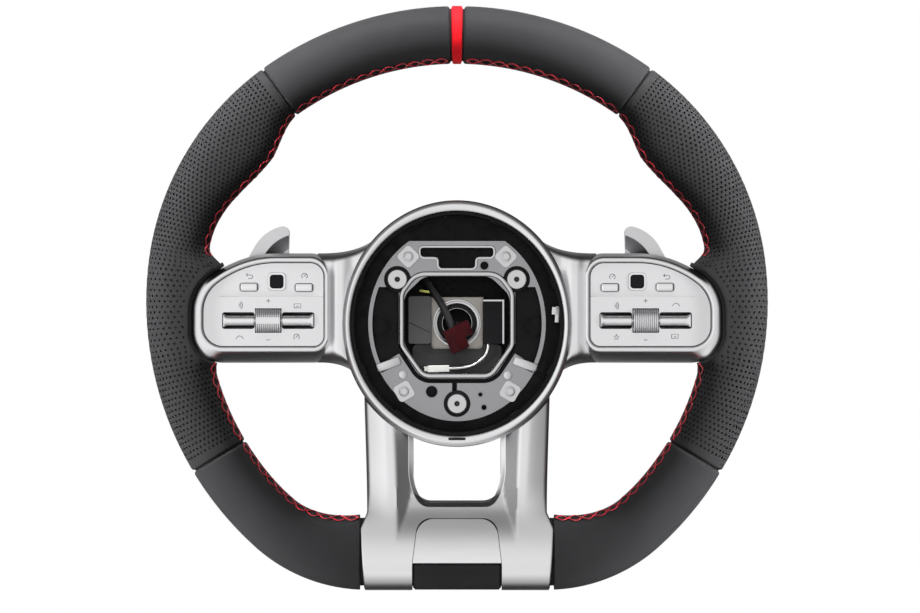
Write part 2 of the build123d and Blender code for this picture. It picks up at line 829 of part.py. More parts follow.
def rim_profile_face(lift, front_side):
    """Side view of the lower spoke, filled from its front or back face to the middle, in (z, ahead)."""
    middle = rim_bottom + rim_width / 2
    way = 1 if front_side else -1
    split = leg_split if front_side else rim_ahead + 1
    deep = way * (rim_depth / 2 + lift)
    face_top = leg_front + lift if front_side else leg_back - lift
    knee = (window_low - 4, face_top + way * 3)
    curve = Spline((leg_top, face_top), knee, (middle, rim_ahead + deep), tangents=[(-1, 0), (-1, 0)])
    foot = rim_bottom - lift
    quarter = EllipticalCenterArc((middle, rim_ahead), rim_width / 2 + lift, rim_depth / 2 + lift,
                                  90 if front_side else 180, arc_size=90)
    sides = Polyline((foot, rim_ahead), (foot, split), (leg_top, split), (leg_top, face_top))
    return make_face([curve, quarter, *sides.edges()])


def lower_profile(lift, front_side):
    """The lower spoke's side view drawn out across its whole width."""
    half = clamp_half_width + 10
    return side_prism(rim_profile_face(lift, front_side), -half, half)


def lower_outline(grow):
    """Front view of the lower spoke: legs and rim clamps, without the window."""
    right = [
        (leg_outer + grow, leg_top), (leg_waist + grow, leg_waist_low),
        (clamp_half_width + grow, clamp_top), (clamp_half_width - clamp_lean + grow, rim_bottom - 5)]
    left = [(-x, z) for x, z in reversed(right)]
    return make_face(Polyline(*right, *left, close=True))


def window_shape():
    """The window between the legs."""
    return rounded([
        (-window_half_width, leg_top + 20, 0), (window_half_width, leg_top + 20, 0),
        (window_half_width, window_low, window_round), (-window_half_width, window_low, window_round)])


def plate_cut(inset):
    """Front view of the opening for the bare plate and the bottom pad."""
    foot = rim_bottom - 10
    right = [(plate_cut_half_top - inset, plate_cut_top - inset, plate_cut_round),
             (plate_cut_half_low - inset, plate_cut_low, 0), (plate_cut_half_low - inset, foot, 0)]
    left = [(-x, z, radius) for x, z, radius in reversed(right)]
    return rounded(right + left)


def leg_envelope():
    """Space taken by the legs where the side trims' necks run down beside them."""
    return prism(lower_outline(fit), 0, 2 * rim_ahead)


def window_cutter():
    """The window, flared towards the driver."""
    front = leg_front + 2
    straight = prism(window_shape(), 0, front - window_flare_depth)
    angle = -math.degrees(math.atan2(window_flare, window_flare_depth))
    flare = extrude(on_ahead(front - window_flare_depth) * window_shape(), window_flare_depth, taper=angle)
    return straight + flare + prism(offset(window_shape(), window_flare), front, 2 * rim_ahead)


def lower_trim():
    trim = prism(lower_outline(0), leg_split, 2 * rim_ahead) & lower_profile(0.2, True)
    trim -= rim_foot(clamp_wall) + window_cutter()
    trim -= prism(plate_cut(0), leg_split, 2 * rim_ahead)
    return one_piece(trim - hub_envelope() - bar_channels())


def badge_plate():
    below = Pos(0, plate_cut_low + close - rim_width) * Rectangle(2 * clamp_half_width, 2 * rim_width)
    plate = prism(plate_cut(close) - below, leg_split, 2 * rim_ahead)
    plate &= lower_profile(-badge_sink, True) - lower_profile(-badge_sink - badge_thick, True)
    return one_piece(plate - rim_foot(clamp_wall))


def lower_back():
    cover = prism(lower_outline(0), 0, leg_split - close) & lower_profile(0.2, False)
    cover -= rim_foot(clamp_wall) + prism(window_shape(), 0, 2 * rim_ahead)
    return one_piece(cover - hub_envelope() - bar_channels())


# Horn plate and what it carries

def plate_outline():
    """Clipped oval of the horn plate."""
    clip = Pos(0, plate_top - 100) * Rectangle(300, 200)
    return Ellipse(plate_half_width, plate_half_height) & clip


def plate_windows():
    """Openings of the horn plate: the inner one, the sides, the gap under the loop, and the top slot."""
    loop = loop_shape(loop_bar)
    oval = Ellipse(plate_half_width - plate_band, plate_half_height - plate_band)
    edge = loop_half_width + loop_bar
    high, outer_low, inner_low = side_window
    reach = plate_half_width
    side = Polyline((edge, high), (reach, high), (reach, outer_low), (edge, inner_low), close=True)
    sides = oval & both_sides(make_face(side))
    below = Pos(0, loop_side_low - plate_half_height) * Rectangle(4 * edge, 2 * plate_half_height)
    gap = (loop_shape(loop_bar + loop_gap) - loop) & below
    notch_x, notch_z, notch_width, notch_height = plate_notch
    notch = Pos(notch_x, notch_z) * Rectangle(notch_width, notch_height)
    slot = Part()
    for width, height, z in (top_slot, top_slot_neck):
        slot += Pos(0, z) * Rectangle(width, height)
    return loop_shape(0) + sides + gap + notch + slot


def horn_plate():
    shape = plate_outline() - plate_windows()
    for x, z in guide_places:
        shape -= Pos(x, z) * Circle(bush_radius + close)
    for x, z, angle in clip_places:
        shape -= Pos(x, z) * Circle(rivet_shank + running)
    for x, z, radius in plate_holes:
        shape -= Pos(x, z) * Circle(radius)
    front = plate_back + plate_thick
    plate = prism(shape, plate_back, front)
    lean = math.radians(bead_slope)
    run = (bead_length / 2 * math.cos(lean), bead_length / 2 * math.sin(lean))
    x, z = bead_place
    bead = rod((x - run[0], front, z + run[1]), (x + run[0], front, z - run[1]), bead_radius)
    return one_piece(plate + both_sides(bead))


def plate_clips():
    clips = []
    for x, z, angle in clip_places:
        shape = RectangleRounded(clip_size, clip_size, 2.2) - Circle(rivet_shank + running)
        front = plate_back + plate_thick
        clips.append(prism(Pos(x, z) * Rot(0, 0, angle) * shape, front, front + clip_thick))
    return Compound(clips)


def plate_rivets():
    rivets = []
    front = plate_back + plate_thick + clip_thick
    for x, z, angle in clip_places:
        rivet = prism(Pos(x, z) * Circle(rivet_head), front, front + rivet_proud)
        rivets.append(rivet + prism(Pos(x, z) * Circle(rivet_shank), plate_back - 0.5, front))
    return Compound(rivets)


def bush_back():
    """Rear face of the guide bushes, set so that the bolt heads just hold them."""
    return plate_back + plate_thick / 2 - bush_thick / 2


def guide_bolts():
    bolts = []
    head_back = bush_back() + bush_thick + fit
    for x, z in guide_places:
        bolt = prism(Pos(x, z) * Circle(guide_head_radius), head_back, head_back + guide_head_thick)
        bolt += prism(Pos(x, z) * Circle(guide_radius), post_front, head_back)
        bolt += prism(Pos(x, z) * Circle(guide_thread_radius), post_front - guide_thread_length, post_front)
        bolts.append(bolt)
    return Compound(bolts)


def guide_bushes():
    rings = []
    for x, z in guide_places:
        ring = Pos(x, z) * (Circle(bush_radius) - Circle(guide_radius + running))
        rings.append(prism(ring, bush_back(), bush_back() + bush_thick))
    return Compound(rings)


def horn_springs():
    """Coil springs between the posts and the bushes, one round each guide bolt."""
    springs = []
    mean = guide_radius + spring_wire + fit
    height = bush_back() - post_front - 2 * spring_wire - 2 * close
    for x, z in guide_places:
        start = post_front + spring_wire + close
        path = Helix(height / spring_turns, height, mean)
        wire = Plane(origin=path @ 0, z_dir=path % 0) * Circle(spring_wire)
        coil = sweep(wire, path)
        springs.append(Plane(origin=(x, -start, z), z_dir=(0, -1, 0)) * coil)
    return Compound(springs)


# Modules and leads in the hub

def control_module():
    middle = (module_half_gap + module_outer) / 2
    height = module_high - module_low
    shape = RectangleRounded(module_outer - module_half_gap, height, 1.5)
    return prism(Pos(-middle, module_low + height / 2) * shape, hub_plate_front, module_front)


def connector_block():
    middle = (module_half_gap + module_outer) / 2 - clip_steel
    width = module_outer - module_half_gap - 2 * clip_steel
    shape = RectangleRounded(width, block_high - module_low, 1)
    return prism(Pos(middle, (module_low + block_high) / 2) * shape, hub_plate_front, module_front)


def module_clip():
    """Steel angle over the top and outer side of the connector block."""
    high = block_high + close
    outer = module_outer - 2 * clip_steel + close
    top = slab(module_half_gap, outer + clip_steel, hub_plate_front, module_front, high, high + clip_steel)
    side = slab(outer, outer + clip_steel, hub_plate_front, module_front, module_low, high)
    return top + side


def hub_tray():
    high = module_low - 0.4
    shape = Pos(0, (high + tray_low) / 2) * RectangleRounded(2 * tray_half_width, high - tray_low, 3)
    corner = Pos(tray_half_width, tray_low) * Rot(0, 0, 45) * Rectangle(tray_corner, tray_corner)
    shape = shape - corner - mirror(corner, about=Plane.YZ)
    tray = prism(shape, hub_plate_front, tray_front)
    return one_piece(tray - prism(RectangleRounded(boss_size, boss_size, 2), 0, tray_front))


airbag_route = [(-20.0, 28.6, 26.5), (-17.2, 31.2, 23.0), (-12.6, 34.6, 17.0), (-7.6, 36.8, 8.5),
                (-3.5, 37.4, 0.0), (-1.2, 37.4, -8.5)]
horn_route = [(19.0, 35.9, -12.4), (19.0, 35.9, -16.6), (15.6, 36.1, -21.6), (9.8, 36.0, -25.6),
              (2.6, 35.9, -27.2), (-4.8, 35.8, -27.4)]


def lead(route, diameter, name):
    """Round lead along straight runs and tangent arcs that are as large as the runs allow."""
    points = [Vector(x, -ahead, z) for x, ahead, z in route]
    radii = []
    for before, corner, after in zip(points, points[1:], points[2:]):
        turn = math.radians((corner - before).get_angle(after - corner))
        shorter = min((corner - before).length, (after - corner).length)
        radii.append(0.45 * shorter / math.tan(turn / 2))
    print(name, "radii", [round(radius, 1) for radius in radii])
    path = FilletPolyline(*points, radius=radii)
    print(name, "length", round(path.length, 1))
    return sweep(Plane(origin=points[0], z_dir=points[1] - points[0]) * Circle(diameter / 2), path)


def end_plane(route):
    """Plane at the end of a lead, facing on along its last run."""
    last = Vector(route[-1][0], -route[-1][1], route[-1][2])
    before = Vector(route[-2][0], -route[-2][1], route[-2][2])
    return Plane(origin=last, x_dir=(0, 1, 0), z_dir=last - before)


def plug(route, body, nose, edge):
    """Plug at the end of a lead: a body and a narrower nose, each as (width, height, length)."""
    plane = end_plane(route)
    shell = extrude(plane * RectangleRounded(body[0], body[1], edge), body[2])
    return shell + extrude(plane.offset(body[2]) * RectangleRounded(nose[0], nose[1], edge), nose[2])


def lead_grommet():
    """Rubber outlet on the hub plate that the airbag lead comes out of."""
    start = Vector(airbag_route[0][0], -airbag_route[0][1], airbag_route[0][2])
    after = Vector(airbag_route[1][0], -airbag_route[1][1], airbag_route[1][2])
    shape = Circle(airbag_lead_dia / 2 + grommet_wall)
    sleeve = extrude(Plane(origin=start, z_dir=start - after) * shape, grommet_length)
    return one_piece(sleeve - slab(-60, 60, 0, hub_plate_front, -60, 60))


# Shift paddles

def blade_shape():
    """Front view of the right paddle's blade."""
    return rounded(paddle_corners)


def paddle():
    front = paddle_back + paddle_thick
    blade = prism(blade_shape(), paddle_back, front + paddle_lip)
    blade -= prism(Pos(*paddle_face_shift) * blade_shape(), front, front + 2 * paddle_lip)
    x, ahead = paddle_pivot
    bend_x, bend_ahead = paddle_arm_bend
    blade_middle = paddle_back + paddle_thick / 2
    arm_points = [(x, ahead), (x + bend_x, ahead + bend_ahead), (paddle_arm_end, blade_middle)]
    blade += plan_prism(band(arm_points, paddle_arm_thick), knuckle_low, knuckle_high)
    blade += rod((x, ahead, knuckle_low), (x, ahead, knuckle_high), knuckle_radius)
    pin_hole = rod((x, ahead, knuckle_low - 1), (x, ahead, knuckle_high + 1), paddle_pin_radius + running)
    return one_piece(blade - pin_hole)


def paddle_bracket():
    x, ahead = paddle_pivot
    low = knuckle_low - fit - ear_height
    high = knuckle_high + fit + ear_height
    block = slab(bracket_inner, x + knuckle_radius + 2, bracket_back, bracket_front, low, high)
    deep = 2 * bracket_front
    block -= slab(x - knuckle_radius - 1, 2 * x, 0, deep, knuckle_low - fit, knuckle_high + fit)
    block -= rod((x, ahead, low - 1), (x, ahead, high + 1), paddle_pin_radius)
    return one_piece(block - cover_body(-close, rear_cover_back))


def paddle_pin():
    x, ahead = paddle_pivot
    low = knuckle_low - fit - ear_height
    high = knuckle_high + fit + ear_height
    return rod((x, ahead, low), (x, ahead, high), paddle_pin_radius)


def write(name, shape):
    export_step(shape, f"parts/{name}.step")


def write_pair(name, shape):
    """The right-hand piece as drawn, and its mirror image on the left."""
    write(f"{name}_right", shape)
    write(f"{name}_left", mirror(shape, about=Plane.YZ))


os.makedirs("parts", exist_ok=True)

casting = armature()
write("armature", casting)
write("rim_foam", rim_foam(casting))
upper, grip, lower, marker, pad = leather_panels()
write_pair("upper_leather", upper)
write_pair("grip_leather", grip)
write_pair("lower_leather", lower)
write("top_marker", marker)
write("bottom_leather_pad", pad)
write("seam_thread", seam_thread())
write("hub_ring", hub_ring())
write("hub_liner", hub_liner())
write("rear_cover", rear_cover())
write("cover_screws", cover_screws())
write_pair("spoke_trim", spoke_trim())
write_pair("spoke_back", spoke_back())
write("lower_trim", lower_trim())
write("lower_back", lower_back())
write("badge_plate", badge_plate())
write("horn_plate", horn_plate())
write("plate_clips", plate_clips())
write("plate_rivets", plate_rivets())
write("guide_bolts", guide_bolts())
write("guide_bushes", guide_bushes())
write("horn_springs", horn_springs())
write("control_module", control_module())
write("connector_block", connector_block())
write("module_clip", module_clip())
write("hub_tray", hub_tray())
write("airbag_lead", lead(airbag_route, airbag_lead_dia, "airbag lead"))
write("airbag_plug", plug(airbag_route, airbag_plug_body, airbag_plug_nose, 1.0))
write("lead_grommet", lead_grommet())
write("horn_lead", lead(horn_route, horn_lead_dia, "horn lead"))
write("horn_plug", plug(horn_route, horn_plug_body, horn_plug_nose, 0.4))
write("switch_panel_right", switch_panel(roller_press))
write("switch_panel_left", mirror(switch_panel(0), about=Plane.YZ))
write("switch_housing_right", switch_housing(roller_press))
write("switch_housing_left", mirror(switch_housing(0), about=Plane.YZ))
write_pair("button_outer", at(outer_button, button()))
write_pair("button_inner", at(inner_button, button()))
write_pair("touch_pad", at(pad_place, touch_pad()))
right_frame = at(pad_place, pad_frame())
write("pad_frames", Compound([right_frame, mirror(right_frame, about=Plane.YZ)]))
inner_place, outer_place = rocker_places()
write_pair("rocker_inner", at(inner_place, rocker()))
write_pair("rocker_outer", at(outer_place, rocker()))
write_pair("roller", roller())
write_pair("roller_axle", axle_rod(0, 0))
write_pair("paddle", paddle())
write("paddle_brackets", Compound([paddle_bracket(), mirror(paddle_bracket(), about=Plane.YZ)]))
write("paddle_pins", Compound([paddle_pin(), mirror(paddle_pin(), about=Plane.YZ)]))
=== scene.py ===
import math

import bmesh
import bpy
import numpy as np
from mathutils import Matrix, Vector


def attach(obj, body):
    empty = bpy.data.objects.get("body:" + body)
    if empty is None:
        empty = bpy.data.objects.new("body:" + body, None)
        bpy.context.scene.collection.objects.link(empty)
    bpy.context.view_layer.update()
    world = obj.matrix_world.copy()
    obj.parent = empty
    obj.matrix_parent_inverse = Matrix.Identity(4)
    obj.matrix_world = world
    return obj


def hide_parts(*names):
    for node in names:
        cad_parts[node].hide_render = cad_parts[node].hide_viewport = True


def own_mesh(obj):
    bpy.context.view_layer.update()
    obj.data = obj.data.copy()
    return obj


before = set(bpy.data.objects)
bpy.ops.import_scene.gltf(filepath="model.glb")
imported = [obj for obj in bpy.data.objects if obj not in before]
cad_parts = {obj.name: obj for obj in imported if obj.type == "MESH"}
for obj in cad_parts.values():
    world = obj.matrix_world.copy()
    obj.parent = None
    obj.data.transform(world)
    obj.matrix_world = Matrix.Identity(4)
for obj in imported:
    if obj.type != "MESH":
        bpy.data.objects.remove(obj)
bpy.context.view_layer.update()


# View: the camera looks straight at the wheel from the driver's side, along the column, through a
# long lens. At the rim the picture is 552 mm wide, and its middle lies a little above the column.
view_width = 0.552
view_distance = 1.9
rim_plane = 0.058
camera_data = bpy.data.cameras.new("driver_view")
camera_data.sensor_width = 36
camera_data.lens = camera_data.sensor_width * view_distance / view_width
camera = bpy.data.objects.new("driver_view", camera_data)
camera.location = (0.0018, -rim_plane - view_distance, 0.0102)
camera.rotation_euler = (math.radians(90), 0, 0)
bpy.context.scene.collection.objects.link(camera)
bpy.context.scene.camera = camera
bpy.context.scene.view_settings.view_transform = "Standard"


# Studio: a white room with a pale floor well under the wheel. Strip lamps with narrow beams stand
# beside and above the rim, a low box shows in the metal, and two boxes light the back. The backdrop
# is white to the eye; what the metal mirrors is bright in front and darker round the sides.
def add_node(tree, kind, inputs=(), operation=None, data_type=None, feature=None):
    """A new shader node with its settings. Its inputs are given as pairs with a value or an output."""
    node = tree.nodes.new("ShaderNode" + kind)
    if operation:
        node.operation = operation
    if data_type:
        node.data_type = data_type
    if feature:
        node.feature = feature
    for socket, value in inputs:
        if isinstance(value, bpy.types.NodeSocket):
            tree.links.new(value, node.inputs[socket])
        else:
            node.inputs[socket].default_value = value
    return node


diffuse_level = 0.055
side_lean = -0.65
stops = ((0.0, 1.0), (0.10, 0.90), (0.24, 0.42), (0.42, 0.12), (0.72, 0.025), (0.90, 0.05), (1.0, 0.5))
world = bpy.data.worlds.new("white_room")
bpy.context.scene.world = world
world.use_nodes = True
room = world.node_tree
backdrop = room.nodes["Background"]
backdrop.inputs["Color"].default_value = (1, 1, 1, 1)
backdrop.inputs["Strength"].default_value = 1.0
rays = add_node(room, "LightPath").outputs
heading = add_node(room, "TexCoord").outputs["Generated"]
axes = add_node(room, "SeparateXYZ", [(0, heading)]).outputs
spread = add_node(room, "MapRange", [("Value", axes["Y"]), ("From Min", -1)])
ramp = add_node(room, "ValToRGB", [("Fac", spread.outputs["Result"])])
for place, _ in stops[1:-1]:
    ramp.color_ramp.elements.new(place)
for stop, (place, level) in zip(ramp.color_ramp.elements, stops):
    stop.position = place
    stop.color = (level, level, level, 1)
lean = add_node(room, "Math", [(0, axes["X"]), (1, side_lean), (2, 1.0)], operation="MULTIPLY_ADD")
toned = add_node(room, "VectorMath", [(0, ramp.outputs["Color"]), ("Scale", lean.outputs[0])],
                 operation="SCALE")
dimmer = add_node(room, "MapRange", [("Value", rays["Is Diffuse Ray"]), ("To Min", 1.0),
                                     ("To Max", diffuse_level)])
room_light = add_node(room, "Background", [("Color", toned.outputs[0]),
                                           ("Strength", dimmer.outputs["Result"])])
room_mix = add_node(room, "MixShader", [(0, rays["Is Camera Ray"]), (1, room_light.outputs[0]),
                                        (2, backdrop.outputs[0])])
room.links.new(room_mix.outputs[0], room.nodes["World Output"].inputs["Surface"])


def surface(name, colour, roughness, metallic=0.0, specular=0.5):
    """A new material with its plain colour and gloss set on the shader."""
    material = bpy.data.materials.new(name)
    material.use_nodes = True
    sockets = material.node_tree.nodes["Principled BSDF"].inputs
    sockets["Base Color"].default_value = (*colour, 1)
    sockets["Roughness"].default_value = roughness
    sockets["Metallic"].default_value = metallic
    sockets["Specular IOR Level"].default_value = specular
    return material


def mesh_object(bm, name, finishes=()):
    """A finished mesh as an object in the scene."""
    mesh = bpy.data.meshes.new(name)
    bm.to_mesh(mesh)
    bm.free()
    for finish in finishes:
        mesh.materials.append(finish)
    made = bpy.data.objects.new(name, mesh)
    bpy.context.scene.collection.objects.link(made)
    return made


floor_height = -0.30
floor_radius = 1.1
floor_glow = 0.5
pale_floor = surface("pale_floor", (0.82, 0.82, 0.82), 0.7)
floor_tree = pale_floor.node_tree
floor_shader = floor_tree.nodes["Principled BSDF"]
floor_shader.inputs["Emission Color"].default_value = (1, 1, 1, 1)
floor_rays = add_node(floor_tree, "LightPath").outputs
floor_seen = add_node(floor_tree, "MapRange", [("Value", floor_rays["Is Camera Ray"]),
                                               ("To Max", floor_glow)])
floor_tree.links.new(floor_seen.outputs["Result"], floor_shader.inputs["Emission Strength"])
bm = bmesh.new()
bmesh.ops.create_circle(bm, cap_ends=True, segments=96, radius=floor_radius)
bmesh.ops.translate(bm, verts=bm.verts, vec=(0, 0, floor_height))
studio_floor = mesh_object(bm, "studio_floor", [pale_floor])
studio_floor.visible_glossy = False

for name, place, target, width, height, beam, power in (
        ("left_box", (-0.42, -0.19, 0.02), (-0.17, -0.062, 0.02), 0.12, 0.52, 16, 0.58),
        ("right_box", (0.42, -0.19, -0.02), (0.17, -0.062, -0.02), 0.12, 0.52, 16, 0.63),
        ("top_box", (0.0, -0.20, 0.43), (0.0, -0.062, 0.18), 0.52, 0.12, 44, 0.80),
        ("low_box", (0.0, -0.34, -0.75), (0, -0.03, -0.1), 0.7, 0.7, 180, 0.6),
        ("rear_box_left", (-0.9, 1.0, 0.7), (0, 0, 0), 0.6, 0.6, 180, 14),
        ("rear_box_right", (0.9, 1.0, 0.5), (0, 0, 0), 0.6, 0.6, 180, 11)):
    lamp_data = bpy.data.lights.new(name, "AREA")
    lamp_data.shape = "RECTANGLE"
    lamp_data.size = width
    lamp_data.size_y = height
    lamp_data.spread = math.radians(beam)
    lamp_data.energy = power
    lamp = bpy.data.objects.new(name, lamp_data)
    lamp.location = place
    lamp.rotation_euler = (Vector(target) - Vector(place)).to_track_quat("-Z", "Y").to_euler()
    bpy.context.scene.collection.objects.link(lamp)
    lamp.visible_glossy = name == "low_box"
    lamp.visible_camera = False


# Rim leather: cow hide cut in panels, glued and stretched over the foam. The upper and lower panels
# are smooth and the grips are perforated; the panel edges roll down into narrow grooves, and a red
# strip marks the middle at the top. All of them are sewn together along the inner edge of the rim.
hands = ((1, "right"), (-1, "left"))
rim_ahead = 58.0
rim_half_width = 17.3
rim_half_depth = 15.5
thumb_turn = 50.0
web_turns = (75.89, 84.14, 98.35, 106.36)
upper_seam = 36.0
lower_seam = 121.0
clamp_edge = 0.0582
groove_half = 0.14
edge_roll = ((0.0, -1.55), (0.15, -0.92), (0.5, -0.44), (1.0, -0.12), (1.7, 0.0))
roll_radius = 160
marker_turn = 1.0
sewn_angle = 157.0
hide_around = 96

rim_arcs = []
arc_x, arc_z, arc_turn = 0.0, 190.4, 0.0
for arc_radius, arc_sweep in ((200.0, 34.0), (169.0, 50.0), (198.0, 54.0), (100.0, 42.0)):
    angle = math.radians(arc_turn)
    centre_x, centre_z = arc_x - arc_radius * math.sin(angle), arc_z - arc_radius * math.cos(angle)
    arc_turn += arc_sweep
    angle = math.radians(arc_turn)
    arc_x, arc_z = centre_x + arc_radius * math.sin(angle), centre_z + arc_radius * math.cos(angle)
    rim_arcs.append((centre_x, centre_z, arc_radius, arc_turn))
rim_bottom = arc_z


def place_mm(x, ahead, z):
    """Place in the frame of a point in millimetres: across, ahead towards the driver, and up."""
    return Vector((x, -ahead, z)) * 0.001


def smooth_step(value, start, end):
    share = min(1.0, max(0.0, (value - start) / (end - start)))
    return share * share * (3 - 2 * share)


def inner_reach(turn):
    """Half-width of the rim's inner side: thumb rest, web to the spoke and thick foot."""
    run = 15 if turn < thumb_turn else 25
    bulge = 9.8 * math.cos(math.radians(90 * min(1, abs(turn - thumb_turn) / run))) ** 2
    web = smooth_step(turn, *web_turns[:2]) - smooth_step(turn, *web_turns[2:])
    lower = 1.9 * smooth_step(turn, 84, 100) + 10 * smooth_step(turn, 130, 190)
    return rim_half_width + bulge + lower + 22 * web ** 2


def rim_point(turn, angle, lift, side=1):
    """Place on the rim: turn from the top in degrees, angle round the section (0 out, 90 front)."""
    for centre_x, centre_z, radius, last in rim_arcs:
        if turn <= last:
            break
    across = math.cos(math.radians(angle))
    half = rim_half_width if across >= 0 else inner_reach(turn)
    reach = radius - rim_half_width + (half + lift) * across
    ahead = rim_ahead + (rim_half_depth + lift) * math.sin(math.radians(angle))
    around = math.radians(turn)
    x, z = centre_x + reach * math.sin(around), centre_z + reach * math.cos(around)
    return place_mm(side * x, ahead, z)


def section_place(x, z):
    """Turn of the rim at a place on its right half, the place's distance out from the middle of the
    section, and the half-width of the section on that side."""
    for centre_x, centre_z, radius, last in rim_arcs:
        turn = math.degrees(math.atan2(x - centre_x, z - centre_z)) % 360
        if turn <= last:
            break
    out = rim_half_width - radius + math.hypot(x - centre_x, z - centre_z)
    return turn, out, rim_half_width if out > 0 else inner_reach(turn)


def run_along(points):
    """Length from the first point of a line to each of its points."""
    return np.concatenate([[0], np.cumsum(np.linalg.norm(np.diff(points, axis=0), axis=1))])


def grid_points(bm, columns, rows):
    """A flat grid added to a mesh: its vertices, each with its column and its row."""
    made = bmesh.ops.create_grid(bm, x_segments=columns, y_segments=rows, size=1)["verts"]
    return [(vert, round((vert.co.x + 1) / 2 * columns), round((vert.co.y + 1) / 2 * rows))
            for vert in made]


def weld(bm, gap=2e-6):
    """Joins the vertices that lie on one another."""
    bmesh.ops.remove_doubles(bm, verts=bm.verts, dist=gap)


def leather_tube(first, last, around, side, shear=0.0):
    """Leather between two turns as a closed tube with its ends rolled down into the grooves."""
    ends = [(math.degrees(run / roll_radius), drop) for run, drop in edge_roll]
    begin, stop = first + ends[-1][0], last - ends[-1][0]
    count = max(2, round(stop - begin))
    stations = [(first + run, drop) for run, drop in ends]
    stations += [(begin + (stop - begin) * k / count, 0.0) for k in range(1, count)]
    stations += [(last - run, drop) for run, drop in reversed(ends)]
    angles = np.linspace(-180, 180, 181)
    runs = [run_along(np.array([rim_point(turn, angle, 0)[:] for angle in angles]))
            for turn, _ in stations]
    bm = bmesh.new()
    for vert, column, row in grid_points(bm, len(stations) - 1, around):
        turn, drop = stations[column]
        share = (row + shear * column) / around % 1.0
        angle = float(np.interp(share, runs[column] / runs[column][-1], angles))
        groove = -0.55 * math.exp(-((angle - sewn_angle) / 7) ** 2)
        vert.co = rim_point(turn, angle, drop + groove, side)
    weld(bm)
    return bm


def make_piece(bm, name, finishes, replaced=(), sharp=38, body="wheel"):
    """The finished mesh as an object that rides on a body and may stand for CAD nodes."""
    bmesh.ops.recalc_face_normals(bm, faces=bm.faces)
    for face in bm.faces:
        face.smooth = True
    piece = mesh_object(bm, name, finishes)
    piece.data.set_sharp_from_angle(angle=math.radians(sharp))
    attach(piece, body)
    if replaced:
        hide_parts(*replaced)
    return piece


def add_grain(material, scale, depth, cells=False, colours=None, rough=None, stretch=None):
    """Grain in the surface: a bump, and the colour and gloss that go with it."""
    tree = material.node_tree
    shader = tree.nodes["Principled BSDF"].inputs
    coordinates = add_node(tree, "TexCoord").outputs["Object"]
    if stretch:
        mapping = add_node(tree, "Mapping", [("Vector", coordinates), ("Scale", stretch)])
        coordinates = mapping.outputs["Vector"]
    pattern = [("Vector", coordinates), ("Scale", scale)]
    if cells:
        texture = add_node(tree, "TexVoronoi", pattern, feature="DISTANCE_TO_EDGE")
        height = texture.outputs["Distance"]
    else:
        height = add_node(tree, "TexNoise", [*pattern, ("Detail", 5)]).outputs["Fac"]
    if depth:
        bump = add_node(tree, "Bump", [("Distance", depth), ("Height", height)])
        if shader["Normal"].is_linked:
            tree.links.new(shader["Normal"].links[0].from_socket, bump.inputs["Normal"])
        tree.links.new(bump.outputs["Normal"], shader["Normal"])
    if colours:
        ends = [(0, height), (6, (*colours[0], 1)), (7, (*colours[1], 1))]
        blend = add_node(tree, "Mix", ends, data_type="RGBA")
        tree.links.new(blend.outputs[2], shader["Base Color"])
    if rough:
        gloss = add_node(tree, "MapRange", [("Value", height), ("From Min", 0.3), ("From Max", 0.7),
                                            ("To Min", rough[0]), ("To Max", rough[1])])
        tree.links.new(gloss.outputs["Result"], shader["Roughness"])


def leather_finish(name, dark, light):
    finish = surface(name, dark, 0.5, specular=0.08)
    add_grain(finish, 70, 0, colours=(dark, light), rough=(0.44, 0.54))
    add_grain(finish, 1500, 0.00005, cells=True)
    return finish


smooth_leather = leather_finish("smooth_leather", (0.027, 0.027, 0.028), (0.034, 0.034, 0.036))
grip_leather = leather_finish("grip_leather", (0.025, 0.025, 0.026), (0.033, 0.033, 0.034))
red_leather = leather_finish("red_leather", (0.62, 0.010, 0.016), (0.74, 0.016, 0.022))

for side, hand in hands:
    bm = leather_tube(marker_turn + 2 * groove_half, upper_seam - groove_half, hide_around, side)
    hide = make_piece(bm, f"upper_hide_{hand}", [smooth_leather],
                      [f"upper_leather_{hand}"])
    bm = leather_tube(lower_seam + groove_half, 179.4, hide_around, side)
    bmesh.ops.bisect_plane(bm, geom=[*bm.verts, *bm.edges, *bm.faces], clear_outer=True,
                           plane_co=(side * clamp_edge, 0, 0), plane_no=(-side, 0, 0))
    hide = make_piece(bm, f"lower_hide_{hand}", [smooth_leather],
                      [f"lower_leather_{hand}"])

strip_columns = 12
bm = bmesh.new()
for vert, column, row in grid_points(bm, strip_columns, hide_around):
    across = 2 * column / strip_columns - 1
    lift = 0.12 - 1.6 * max(0.0, (abs(across) - 0.8) / 0.2) ** 2
    angle = 360 * row / hide_around - 180
    vert.co = rim_point(abs(across) * marker_turn, angle, lift, 1 if across >= 0 else -1)
weld(bm)
make_piece(bm, "top_strip", [red_leather], ["top_marker"])


# Switch pod outline: the shape that the spoke's bezel, its panel and the leather round it share.
# It is drawn for the right spoke, with the rounded corners of the moulded trim.
pod_inner, pod_outer = 79.3, 152.2
pod_foot, pod_top = -14.0, 36.7
crown_run, crown_fall = 24.2, 18.9


def rounded_outline(corners, steps):
    """Points of a polygon with rounded corners given as (x, z, radius), in millimetres."""
    points = []
    for before, here, after in zip(corners[-1:] + corners[:-1], corners, corners[1:] + corners[:1]):
        corner, radius = Vector(here[:2]), here[2]
        back = (Vector(before[:2]) - corner).normalized()
        on = (Vector(after[:2]) - corner).normalized()
        half = back.angle(on) / 2
        centre = corner + (back + on).normalized() * (radius / math.sin(half))
        first = corner + back * (radius / math.tan(half)) - centre
        last = corner + on * (radius / math.tan(half)) - centre
        start = math.atan2(first.y, first.x)
        sweep = (math.atan2(last.y, last.x) - start + math.pi) % (2 * math.pi) - math.pi
        for step in range(steps + 1):
            turned = start + sweep * step / steps
            points.append((centre.x + radius * math.cos(turned), centre.y + radius * math.sin(turned)))
    return points


